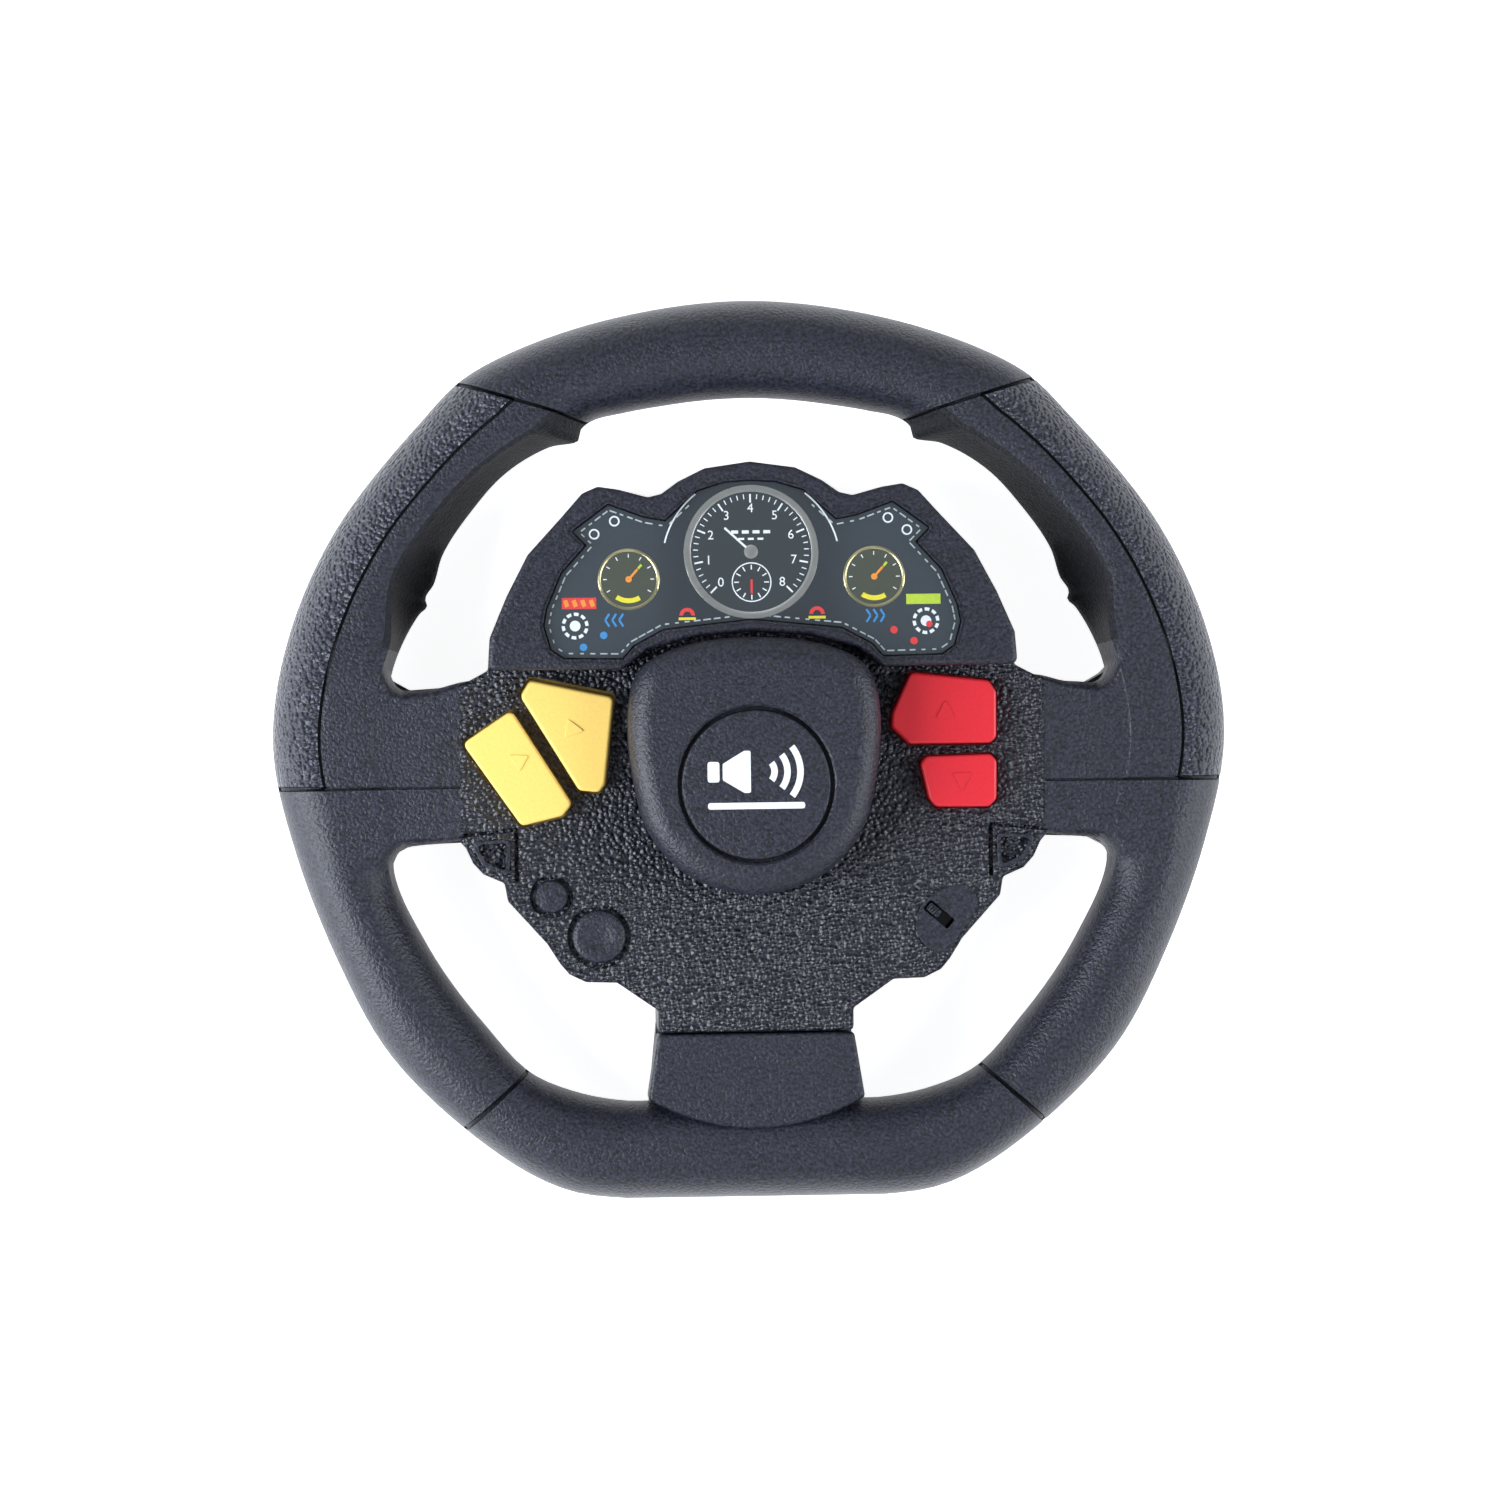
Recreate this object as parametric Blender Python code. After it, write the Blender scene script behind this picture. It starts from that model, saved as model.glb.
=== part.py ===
"""Toy radio transmitter in the shape of a flat-bottomed steering wheel.

The wheel lies on its back: +Z is its face, +Y is twelve o'clock, and z = 0 is the surface it rests on.
Two black shells meet at a parting plane and hold the board, the cells and the buttons between them.
Every length is in metres, and a clock angle runs in degrees from twelve o'clock towards three o'clock.
"""

import functools
import math

import bmesh
import bpy
import numpy as np
from mathutils import Vector

# ---- overall ------------------------------------------------------------------------------------
WHEEL_WIDTH = 0.180
WHEEL_HEIGHT = 0.169
SHELL_WALL = 0.0020
GAP = 0.0003  # air between two pieces that touch
PARTING_Z = 0.0160  # where the two shells meet

# ---- rim ----------------------------------------------------------------------------------------
# Right half of the rim's outer edge, as shares of half the width and half the height.
RIM_SHAPE = (
    (0.0, 1.0),
    (0.30, 0.958),
    (0.555, 0.857),
    (0.69, 0.728),
    (0.859, 0.505),
    (0.963, 0.265),
    (1.0, 0.02),
    (0.953, -0.227),
    (0.86, -0.485),
    (0.756, -0.682),
    (0.592, -0.854),
    (0.427, -0.967),
    (0.27, -1.0),
    (0.0, -1.0),
)
# How wide the tube is at each clock angle: it steps out where the grip begins, at 28 degrees.
TUBE_WIDTHS = (
    (0, 0.0183),
    (25, 0.0176),
    (28, 0.0204),
    (41, 0.0180),
    (50, 0.0183),
    (65, 0.0209),
    (90, 0.0207),
    (112, 0.0158),
    (126, 0.0175),
    (144, 0.0159),
    (160, 0.0186),
    (180, 0.0180),
)
RIM_STATION_STEP = 5  # degrees
RIM_BACK_Z = 0.0055
RIM_DROP = 0.0004  # how far the rim's top stays below the centre face
RIM_ROUNDNESS = 2.3  # exponent of the tube's section: 2 is an ellipse
RIM_SECTION_POINTS = 9

# ---- battery bay, board and keypads, stacked from the back to the face ----------------------------
CELL_DIAMETER = 0.0145
CELL_LENGTH = 0.0505
CELL_SPACE = 0.0005  # air round a cell
CELL_EDGE = 0.0006
POLE_RADIUS = 0.0026
POLE_HEIGHT = 0.0011
BAY_WALL = 0.0020
BAY_CEILING = 0.0015
BAY_Y = -0.0140
CONTACT_ROOM = 0.0045  # at each end of the cells
CONTACT_THICKNESS = 0.0004
SPRING_FOOT_RADIUS = 0.0042
SPRING_TIP_RADIUS = 0.0022
DOOR_THICKNESS = 0.0016
DOOR_RECESS = 0.0004
DOOR_LEDGE = 0.0012
DOOR_EAR_RADIUS = 0.0040
BOARD_THICKNESS = 0.0012
KEYPAD_SHEET = 0.0008
DOME_HEIGHT = 0.0010
DOME_RADIUS = 0.0035
KEYPAD_BORDER = 0.0010  # rubber beyond a dome's foot
BUTTON_TRAVEL = 0.0012
BUTTON_FLANGE = 0.0012
BUTTON_LIP = 0.0007  # how far the flange reaches past the button's outline
BUTTON_HEIGHT = 0.0030  # above the face
BUTTON_CHAMFER = 0.0008

CELL_Z = DOOR_RECESS + DOOR_THICKNESS + CELL_SPACE + CELL_DIAMETER / 2
BAY_TOP_Z = CELL_Z + CELL_DIAMETER / 2 + CELL_SPACE + BAY_CEILING
BOARD_Z = BAY_TOP_Z + GAP
BOARD_TOP_Z = BOARD_Z + BOARD_THICKNESS
KEYPAD_Z = BOARD_TOP_Z + GAP
DOME_TOP_Z = KEYPAD_Z + KEYPAD_SHEET + DOME_HEIGHT
FLANGE_Z = DOME_TOP_Z + BUTTON_TRAVEL + GAP
FACE_UNDER_Z = FLANGE_Z + BUTTON_FLANGE + GAP
FACE_Z = FACE_UNDER_Z + SHELL_WALL
RIM_TOP_Z = FACE_Z - RIM_DROP

BAY_LENGTH = CELL_LENGTH + 2 * CONTACT_ROOM
BAY_WIDTH = 2 * CELL_DIAMETER + 3 * CELL_SPACE

# ---- centre: right halves of the outlines, from twelve o'clock down --------------------------------
DASH_EDGE = (
    (0.0, 0.0536),
    (0.0085, 0.0524),
    (0.0134, 0.0500),
    (0.0166, 0.0477),
    (0.0191, 0.0471),
    (0.0246, 0.0486),
    (0.0285, 0.0492),
    (0.0314, 0.0479),
    (0.0353, 0.0435),
    (0.0417, 0.0365),
    (0.0457, 0.0288),
    (0.0489, 0.0212),
    (0.0493, 0.0152),
)
PANEL_EDGE = DASH_EDGE + (
    (0.0529, 0.0133),
    (0.0550, 0.0130),
    (0.0550, -0.0166),
    (0.0525, -0.0212),
    (0.0506, -0.0231),
    (0.0467, -0.0250),
    (0.0461, -0.0280),
    (0.0389, -0.0360),
    (0.0365, -0.0398),
    (0.0348, -0.0418),
    (0.0317, -0.0433),
    (0.0259, -0.0435),
    (0.0183, -0.0488),
    (0.0183, -0.0530),
)
HUMP_EDGE = (
    (0.0, 0.0470),
    (0.0230, 0.0430),
    (0.0380, 0.0290),
    (0.0440, 0.0100),
    (0.0440, -0.0150),
    (0.0400, -0.0290),
    (0.0300, -0.0400),
    (0.0, -0.0420),
)
PANEL_CHAMFER = 0.0012
HUMP_CHAMFER = 0.0020
SPOKE_FALL = 0.0012  # how far a side spoke's top falls from the panel to its end in the rim
SPOKE_BACK_Z = 0.0065
FOOT_TOP_Z = FACE_Z - 0.0008  # the smooth tongue of the bottom spoke
FOOT_HALF_WIDTHS = (0.0183, 0.0204)  # at the panel and at the rim
SPOKE_REACH = 0.0065  # how far a spoke runs into the rim
SPOKE_TOP_Y = 0.0120
SPOKE_LOW_Y = -0.0172
SPOKE_FILLET = 0.0025

# ---- hub and horn ---------------------------------------------------------------------------------
HUB_EDGE = (
    (0.0, 0.0207),
    (0.0100, 0.0199),
    (0.0183, 0.0172),
    (0.0222, 0.0130),
    (0.0235, 0.0050),
    (0.0226, -0.0054),
    (0.0195, -0.0160),
    (0.0117, -0.0240),
    (0.0, -0.0271),
)
HUB_HEIGHT = 0.0135
HUB_SHOULDER = 0.0040
HORN_Y = -0.0067
HORN_RADIUS = 0.0139
HORN_RING = 0.0007  # air round the horn disc
HORN_EDGE = 0.0007  # how far the disc's rim is rounded off
HORN_DISC = 0.0030
HORN_LIP = 0.0012
HORN_STEM_RADIUS = 0.0030

# ---- instrument dash ------------------------------------------------------------------------------
DASH_TILT = math.radians(7)
DASH_RISE = 0.0080  # above the face, along the dash's lower edge
DASH_CHAMFER = 0.0015
DASH_LOW_EDGE = ((0.0243, 0.0150), (0.0195, 0.0186), (0.0105, 0.0211), (0.0, 0.0219))
WINDOW_EDGE = (
    (0.0, 0.0502),
    (0.0048, 0.0499),
    (0.0100, 0.0483),
    (0.0160, 0.0428),
    (0.0198, 0.0435),
    (0.0266, 0.0460),
    (0.0336, 0.0408),
    (0.0310, 0.0382),
    (0.0356, 0.0331),
    (0.0384, 0.0265),
    (0.0390, 0.0233),
    (0.0377, 0.0187),
    (0.0352, 0.0170),
    (0.0242, 0.0168),
    (0.0221, 0.0192),
    (0.0165, 0.0222),
    (0.0, 0.0239),
)
CARD_THICKNESS = 0.0004
LENS_THICKNESS = 0.0010
LENS_SINK = 0.0003

# ---- drive buttons, each a closed outline ----------------------------------------------------------
BUTTON_OUTLINES = {
    "steer_left_button": (
        (-0.0542, 0.0016),
        (-0.0450, 0.0077),
        (-0.0339, -0.0099),
        (-0.0357, -0.0121),
        (-0.0434, -0.0139),
    ),
    "steer_right_button": (
        (-0.0433, 0.0107),
        (-0.0414, 0.0137),
        (-0.0259, 0.0104),
        (-0.0277, -0.0063),
        (-0.0288, -0.0078),
        (-0.0326, -0.0074),
    ),
    "forward_button": (
        (0.0295, 0.0139),
        (0.0442, 0.0122),
        (0.0456, 0.0101),
        (0.0455, 0.0015),
        (0.0444, 0.0005),
        (0.0291, 0.0005),
        (0.0258, 0.0037),
        (0.0260, 0.0062),
    ),
    "reverse_button": (
        (0.0312, -0.0032),
        (0.0323, -0.0019),
        (0.0444, -0.0016),
        (0.0455, -0.0028),
        (0.0454, -0.0100),
        (0.0440, -0.0114),
        (0.0340, -0.0113),
        (0.0327, -0.0096),
    ),
}

# ---- moulded pads of the lower panel -----------------------------------------------------------------
SMALL_PAD = (-0.0380, -0.0272, 0.0030)  # x, y, radius
LARGE_PAD = (-0.0292, -0.0348, 0.0046)
SWITCH_PAD = (0.0362, -0.0331, 0.0058)
PAD_HEIGHT = 0.0006

# ---- power switch ------------------------------------------------------------------------------------
SWITCH_PLACE = (0.0345, -0.0315)
SWITCH_ANGLE = math.radians(-41)
SLOT_LENGTH = 0.0060
SLOT_WIDTH = 0.0023
LEVER_LENGTH = 0.0027
LEVER_WIDTH = 0.0016
LEVER_RISE = 0.0014
LEVER_SKID = 0.0003  # how much wider the lever's foot is than the slot, on each side
SWITCH_TRAVEL = 0.0025
SWITCH_BODY = (0.0070, 0.0042, 0.0030)

# ---- screws --------------------------------------------------------------------------------------------
SCREW_CLOCK_ANGLES = (46, 130, -130, -46)
SCREW_CENTRE = (0.0300, 0.0300)  # behind the dash, and its mirror image
SCREW_SEAT_Z = 0.0115
SCREW_TIP_Z = 0.0235
SCREW_RADIUS = 0.0011
SCREW_HEAD_RADIUS = 0.0022
SCREW_HEAD = 0.0015
SCREW_HOLE_RADIUS = SCREW_RADIUS + GAP
POST_RADIUS = 0.0040
BOSS_RADIUS = 0.0030
BOARD_SCREW_PLACE = (0.0200, 0.0140)
BOARD_HALF_LENGTH = 0.0495
BOARD_Y = (-0.0145, 0.0105)
BOARD_TAB = (0.0245, 0.0175)  # half width and top edge of the board's middle tab
BOARD_SCREW_LENGTH = 0.0038
CHIP_EDGE = 0.0003
CHIPS = {  # name: x, y, length, width, height, colour, roughness, metallic
    "control_chip": (0.0, 0.0065, 0.0100, 0.0040, 0.0015, (0.01, 0.01, 0.012), 0.5, 0.0),
    "radio_chip": (-0.0120, 0.0070, 0.0050, 0.0040, 0.0012, (0.01, 0.01, 0.012), 0.5, 0.0),
    "crystal": (0.0120, 0.0070, 0.0070, 0.0030, 0.0028, (0.62, 0.62, 0.60), 0.25, 1.0),
}
WIRE_RADIUS = 0.0005
WIRE_FOOT = (-0.0120, 0.0160)  # where the lead leaves the board
WIRE_ARC_CENTRE = (0.0, 0.0280)
WIRE_ARC_REACH = (0.0210, 0.0100)  # along X and along Y
WIRE_ARC_ANGLES = (215, 55)
WIRE_ARC_STEPS = 16

BLACK = (0.020, 0.020, 0.026)


# ---- tools ---------------------------------------------------------------------------------------------
def clear_scene():
    for obj in list(bpy.data.objects):
        bpy.data.objects.remove(obj, do_unlink=True)


def material(name, colour, roughness, metallic=0.0):
    """A Principled material, made once for each name."""
    made = bpy.data.materials.get(name)
    if made is None:
        made = bpy.data.materials.new(name)
        made.use_nodes = True
        shader = made.node_tree.nodes["Principled BSDF"]
        shader.inputs["Base Color"].default_value = (*colour, 1.0)
        shader.inputs["Roughness"].default_value = roughness
        shader.inputs["Metallic"].default_value = metallic
    return made


def black_plastic(name):
    return material(name, BLACK, 0.45)


def add_ring_stack(bm, rings, joined):
    """Adds a closed body through rings of points: capped at both ends, or joined into a loop."""
    loops = [[bm.verts.new(point) for point in ring] for ring in rings]
    pairs = list(zip(loops, loops[1:]))
    if joined:
        pairs.append((loops[-1], loops[0]))
    else:
        bm.faces.new(loops[0])
        bm.faces.new(loops[-1])
    for near, far in pairs:
        for i in range(len(near)):
            j = (i + 1) % len(near)
            bm.faces.new((near[i], near[j], far[j], far[i]))


def make_object(name, bodies, finish, smooth_angle=35, joined=False):
    """One object from the ring stacks in bodies."""
    mesh = bpy.data.meshes.new(name)
    bm = bmesh.new()
    for rings in bodies:
        add_ring_stack(bm, rings, joined)
    bmesh.ops.recalc_face_normals(bm, faces=bm.faces)
    bm.to_mesh(mesh)
    bm.free()
    mesh.shade_smooth()
    mesh.set_sharp_from_angle(angle=math.radians(smooth_angle))
    mesh.materials.append(finish)
    obj = bpy.data.objects.new(name, mesh)
    bpy.context.scene.collection.objects.link(obj)
    return obj


def combine(target, tool, operation):
    """A Boolean of target with tool, which is then a hidden helper."""
    modifier = target.modifiers.new(tool.name, "BOOLEAN")
    modifier.operation = operation
    modifier.solver = "EXACT"
    modifier.object = tool
    tool.hide_render = True
    tool.display_type = "WIRE"


def add(target, tool):
    combine(target, tool, "UNION")


def cut(target, tool):
    combine(target, tool, "DIFFERENCE")


def mirrored(right_half):
    """The closed outline of a right half that runs from the top centre to the bottom."""
    left_half = [(-x, y) for x, y in reversed(right_half) if x > 0]
    return list(right_half) + left_half


def offset(outline, distance):
    """The outline moved outwards along each corner's mitre, or inwards when distance is negative."""
    following = list(outline[1:]) + [outline[0]]
    area = sum(ax * by - bx * ay for (ax, ay), (bx, by) in zip(outline, following))
    side = math.copysign(1.0, area)
    moved = []
    for i, here in enumerate(outline):
        arriving = (Vector(here) - Vector(outline[i - 1])).normalized()
        leaving = (Vector(following[i]) - Vector(here)).normalized()
        normal_in = Vector((arriving.y, -arriving.x)) * side
        normal_out = Vector((leaving.y, -leaving.x)) * side
        mitre = (normal_in + normal_out) / (1.0 + normal_in.dot(normal_out))
        moved.append(tuple(Vector(here) + mitre * distance))
    return moved


def at_height(outline, z):
    return [(x, y, z) for x, y in outline]


def spoke_top(x, shift=0.0):
    """Height of a side spoke's sloping top at x, moved by shift."""
    share = (abs(x) - PANEL_HALF_WIDTH) / (SPOKE_END_X - PANEL_HALF_WIDTH)
    return FACE_Z - SPOKE_FALL * share + shift


def prism(outline, base, end, chamfer=0.0):
    """Ring stack of an upright prism from base to end, above or below it, with a chamfer at the end.

    The end is a height, or a function that gives a sloping end's height at x.
    """
    if callable(end):
        return [at_height(outline, base), [(x, y, end(x)) for x, y in outline]]
    back = math.copysign(chamfer, end - base)
    rings = [at_height(outline, base), at_height(outline, end - back)]
    if chamfer:
        rings.append(at_height(offset(outline, -chamfer), end))
    return rings


def rectangle(centre_x, centre_y, length, width):
    x, y = length / 2, width / 2
    return [
        (centre_x - x, centre_y - y),
        (centre_x + x, centre_y - y),
        (centre_x + x, centre_y + y),
        (centre_x - x, centre_y + y),
    ]


def turned(x, y, profile, sides=24):
    """Ring stack of a body turned about an upright axis: profile is (radius, z) pairs."""
    turns = [2 * math.pi * i / sides for i in range(sides)]
    return [
        [(x + radius * math.cos(a), y + radius * math.sin(a), z) for a in turns]
        for radius, z in profile
    ]


def centre_of(outline):
    return tuple(sum(point[i] for point in outline) / len(outline) for i in range(2))


# ---- rim shape -------------------------------------------------------------------------------------------
def through(points, steps=12):
    """A smooth closed curve through points (Catmull-Rom)."""
    count = len(points)
    curve = []
    for i in range(count):
        p0, p1, p2, p3 = (np.array(points[(i + k) % count]) for k in (-1, 0, 1, 2))
        for t in np.arange(steps) / steps:
            curve.append(
                0.5
                * (
                    2 * p1
                    + (p2 - p0) * t
                    + (2 * p0 - 5 * p1 + 4 * p2 - p3) * t**2
                    + (3 * p1 - p0 - 3 * p2 + p3) * t**3
                )
            )
    return np.array(curve)


def rim_radii():
    """Clock angles and outer radii along the rim's edge, in rising order of angle."""
    corners = [(x * WHEEL_WIDTH / 2, y * WHEEL_HEIGHT / 2) for x, y in RIM_SHAPE]
    edge = through(mirrored(corners))
    angles = np.degrees(np.arctan2(edge[:, 0], edge[:, 1]))
    order = np.argsort(angles)
    return angles[order], np.hypot(edge[:, 0], edge[:, 1])[order]


RIM_ANGLES, RIM_RADII = rim_radii()


def outer_radius(clock):
    """The rim's outer radius at a clock angle, cut off level along the flat bottom."""
    radius = float(np.interp(clock, RIM_ANGLES, RIM_RADII, period=360))
    down = -math.cos(math.radians(clock))
    if down * radius > WHEEL_HEIGHT / 2:
        radius = WHEEL_HEIGHT / 2 / down
    return radius


def tube_width(clock):
    """The tube's width at a clock angle, eased from one of TUBE_WIDTHS to the next."""
    turn = abs((clock + 180) % 360 - 180)
    for (a, width_a), (b, width_b) in zip(TUBE_WIDTHS, TUBE_WIDTHS[1:]):
        if turn <= b:
            share = (turn - a) / (b - a)
            ease = share * share * (3 - 2 * share)
            return width_a + (width_b - width_a) * ease
    return TUBE_WIDTHS[-1][1]


def rim_middle(clock):
    """The point on the tube's centre line at a clock angle."""
    radius = outer_radius(clock) - tube_width(clock) / 2
    return radius * math.sin(math.radians(clock)), radius * math.cos(math.radians(clock))


def rim_ring(tip_z, wall, base_z):
    """Ring stack of half the rim, from the base plane to tip_z, set in by wall all round."""
    grip_angles = {TUBE_WIDTHS[1][0], TUBE_WIDTHS[2][0]}
    stations = set(range(-180, 180, RIM_STATION_STEP)) | grip_angles | {-a for a in grip_angles}
    rise = tip_z - PARTING_Z
    rise -= math.copysign(wall, rise)
    power = 2 / RIM_ROUNDNESS
    rings = []
    for clock in sorted(stations):
        turn = math.radians(clock)
        half = tube_width(clock) / 2 - wall
        middle = outer_radius(clock) - tube_width(clock) / 2
        section = [(middle + half, base_z)]
        for i in range(RIM_SECTION_POINTS):
            a = math.pi * i / (RIM_SECTION_POINTS - 1)
            across = math.copysign(abs(math.cos(a)) ** power, math.cos(a))
            z = PARTING_Z + rise * abs(math.sin(a)) ** power
            section.append((middle + half * across, z))
        section.append((middle - half, base_z))
        rings.append([(r * math.sin(turn), r * math.cos(turn), z) for r, z in section])
    return rings


# ---- shared outlines ---------------------------------------------------------------------------------------
PANEL = mirrored(PANEL_EDGE)
PANEL_HALF_WIDTH = max(x for x, _ in PANEL_EDGE)
HUMP = mirrored(HUMP_EDGE)
HUB = mirrored(HUB_EDGE)
SPOKE_END_X = outer_radius(90) - tube_width(90) + SPOKE_REACH
FOOT_END_Y = -(outer_radius(180) - tube_width(180) + SPOKE_REACH)


def spoke_outline(side):
    """One side spoke, from inside the panel into the rim, with flared corners at the rim."""
    inner = PANEL_HALF_WIDTH - 4 * SHELL_WALL
    fillet_x = SPOKE_END_X - SPOKE_REACH - SPOKE_FILLET
    points = [
        (inner, SPOKE_TOP_Y),
        (fillet_x, SPOKE_TOP_Y - SPOKE_FILLET / 4),
        (fillet_x + SPOKE_FILLET, SPOKE_TOP_Y + SPOKE_FILLET / 2),
        (SPOKE_END_X, SPOKE_TOP_Y + SPOKE_FILLET),
        (SPOKE_END_X, SPOKE_LOW_Y - SPOKE_FILLET),
        (fillet_x + SPOKE_FILLET, SPOKE_LOW_Y - SPOKE_FILLET / 2),
        (fillet_x, SPOKE_LOW_Y),
        (inner, SPOKE_LOW_Y + SPOKE_FILLET / 4),
    ]
    return [(side * x, y) for x, y in points]


def foot_outline():
    """The bottom spoke, from inside the panel into the rim."""
    top = PANEL_EDGE[-1][1] + 4 * SHELL_WALL
    narrow, wide = FOOT_HALF_WIDTHS
    return [(narrow, top), (wide, FOOT_END_Y), (-wide, FOOT_END_Y), (-narrow, top)]


def screw_places():
    """Where the six shell screws stand: four in the rim and two behind the dash."""
    x, y = SCREW_CENTRE
    return [rim_middle(clock) for clock in SCREW_CLOCK_ANGLES] + [(x, y), (-x, y)]


def board_screw_places():
    x, y = BOARD_SCREW_PLACE
    return [(x, y), (-x, y)]


def columns(name, places, radius, low, high, sides=12):
    """One helper object that holds an upright cylinder at each place."""
    bodies = [turned(x, y, [(radius, low), (radius, high)], sides) for x, y in places]
    return make_object(name, bodies, black_plastic("helper"))


# ---- shells ------------------------------------------------------------------------------------------------
def make_half(name, blocks, tip_z, edge_z, finish):
    """Half of the wheel, hollow and open at its parting edge: the rim and the blocks that it joins.

    blocks holds an outline, the height of its end and its end's chamfer under each name.
    """
    away = math.copysign(SHELL_WALL, edge_z - tip_z)
    past, far = edge_z + away, edge_z + 3 * away
    half = make_object(name, [rim_ring(tip_z, 0.0, past)], finish, joined=True)
    for part, (outline, end, chamfer) in blocks.items():
        add(half, make_object(part, [prism(outline, past, end, chamfer)], finish))
    whole = rectangle(0, 0, 2 * WHEEL_WIDTH, 2 * WHEEL_HEIGHT)
    cut(half, make_object(name + "_parting", [prism(whole, edge_z + 2 * away, edge_z)], finish))
    hollow = make_object(name + "_rim_hollow", [rim_ring(tip_z, SHELL_WALL, far)], finish, joined=True)
    cut(half, hollow)
    for part, (outline, end, _) in blocks.items():
        roof = functools.partial(end, shift=away) if callable(end) else end + away
        inside = prism(offset(outline, -SHELL_WALL), far, roof)
        cut(half, make_object(part + "_hollow", [inside], finish))
    return half


def make_front_shell():
    finish = black_plastic("front_shell_black")
    blocks = {
        "front_panel": (PANEL, FACE_Z, PANEL_CHAMFER),
        "front_spoke_right": (spoke_outline(1), spoke_top, 0.0),
        "front_spoke_left": (spoke_outline(-1), spoke_top, 0.0),
        "front_foot": (foot_outline(), FOOT_TOP_Z, 0.0),
    }
    shell = make_half("front_shell", blocks, RIM_TOP_Z, PARTING_Z, finish)
    below, above = PARTING_Z - SHELL_WALL, FACE_Z + SHELL_WALL
    in_roof = SHELL_WALL / 2
    for x, y, radius in (SMALL_PAD, LARGE_PAD, SWITCH_PAD):
        pad = [(radius, FACE_Z - in_roof), (radius, FACE_Z + PAD_HEIGHT)]
        add(shell, make_object("front_pad", [turned(x, y, pad, 20)], finish))
    rim_screws = screw_places()[: len(SCREW_CLOCK_ANGLES)]
    dash_screws = screw_places()[len(SCREW_CLOCK_ANGLES) :]
    add(shell, columns("rim_bosses", rim_screws, BOSS_RADIUS, PARTING_Z + GAP, RIM_TOP_Z - in_roof))
    add(shell, columns("dash_bosses", dash_screws, BOSS_RADIUS, PARTING_Z + GAP, FACE_Z - in_roof))
    board_boss_z = BOARD_TOP_Z + GAP
    add(shell, columns("board_bosses", board_screw_places(), BOSS_RADIUS, board_boss_z, FACE_Z - in_roof))
    cut(shell, columns("screw_pilots", screw_places(), SCREW_HOLE_RADIUS, below, SCREW_TIP_Z + GAP))
    pilot_top = BOARD_Z + BOARD_SCREW_LENGTH
    cut(shell, columns("board_pilots", board_screw_places(), SCREW_HOLE_RADIUS, below, pilot_top))
    for name, outline in BUTTON_OUTLINES.items():
        hole = prism(offset(outline, GAP), FLANGE_Z, above)
        cut(shell, make_object(name + "_hole", [hole], finish))
    cut(shell, columns("horn_hole", [(0, HORN_Y)], HORN_STEM_RADIUS + GAP, FLANGE_Z, above, 20))
    slot = slot_outline(SLOT_LENGTH, SLOT_WIDTH, 0.0)
    cut(shell, make_object("switch_slot", [prism(slot, FLANGE_Z, above)], finish))


def make_rear_shell():
    finish = black_plastic("rear_shell_black")
    top = PARTING_Z - GAP
    blocks = {
        "rear_panel": (PANEL, SPOKE_BACK_Z, PANEL_CHAMFER),
        "rear_spoke_right": (spoke_outline(1), SPOKE_BACK_Z + GAP, 0.0),
        "rear_spoke_left": (spoke_outline(-1), SPOKE_BACK_Z + GAP, 0.0),
        "rear_foot": (foot_outline(), SPOKE_BACK_Z + GAP, 0.0),
        "rear_hump": (HUMP, 0.0, HUMP_CHAMFER),
    }
    shell = make_half("rear_shell", blocks, RIM_BACK_Z, top, finish)
    below, above = -SHELL_WALL, PARTING_Z + SHELL_WALL
    in_floor = SHELL_WALL / 2
    bay = rectangle(0, BAY_Y, BAY_LENGTH, BAY_WIDTH)
    block = prism(offset(bay, BAY_WALL), in_floor, BAY_TOP_Z)
    add(shell, make_object("bay_block", [block], finish))
    rim_screws = screw_places()[: len(SCREW_CLOCK_ANGLES)]
    dash_screws = screw_places()[len(SCREW_CLOCK_ANGLES) :]
    post_top = top - GAP
    add(shell, columns("rim_posts", rim_screws, POST_RADIUS, RIM_BACK_Z + in_floor, post_top))
    add(shell, columns("dash_posts", dash_screws, POST_RADIUS, in_floor, post_top))
    door_screw = [(0, door_ear_y())]
    add(shell, columns("door_boss", door_screw, DOOR_EAR_RADIUS + BAY_WALL, in_floor, CELL_Z, 16))

    counterbore = SCREW_HEAD_RADIUS + 2 * GAP
    cut(shell, columns("screw_wells", screw_places(), counterbore, below, SCREW_SEAT_Z))
    cut(shell, columns("screw_holes", screw_places(), SCREW_HOLE_RADIUS, 2 * below, above))
    cut(shell, columns("door_pilot", door_screw, SCREW_HOLE_RADIUS, below, CELL_Z - SHELL_WALL))
    cut(shell, make_object("bay_hollow", [prism(bay, 2 * below, BAY_TOP_Z - BAY_CEILING)], finish))
    seat_z = DOOR_RECESS + DOOR_THICKNESS + GAP
    seat = prism(offset(bay, DOOR_LEDGE), below, seat_z)
    cut(shell, make_object("door_seat", [seat], finish))
    cut(shell, columns("door_ear_seat", door_screw, DOOR_EAR_RADIUS, below, seat_z, 16))


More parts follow.
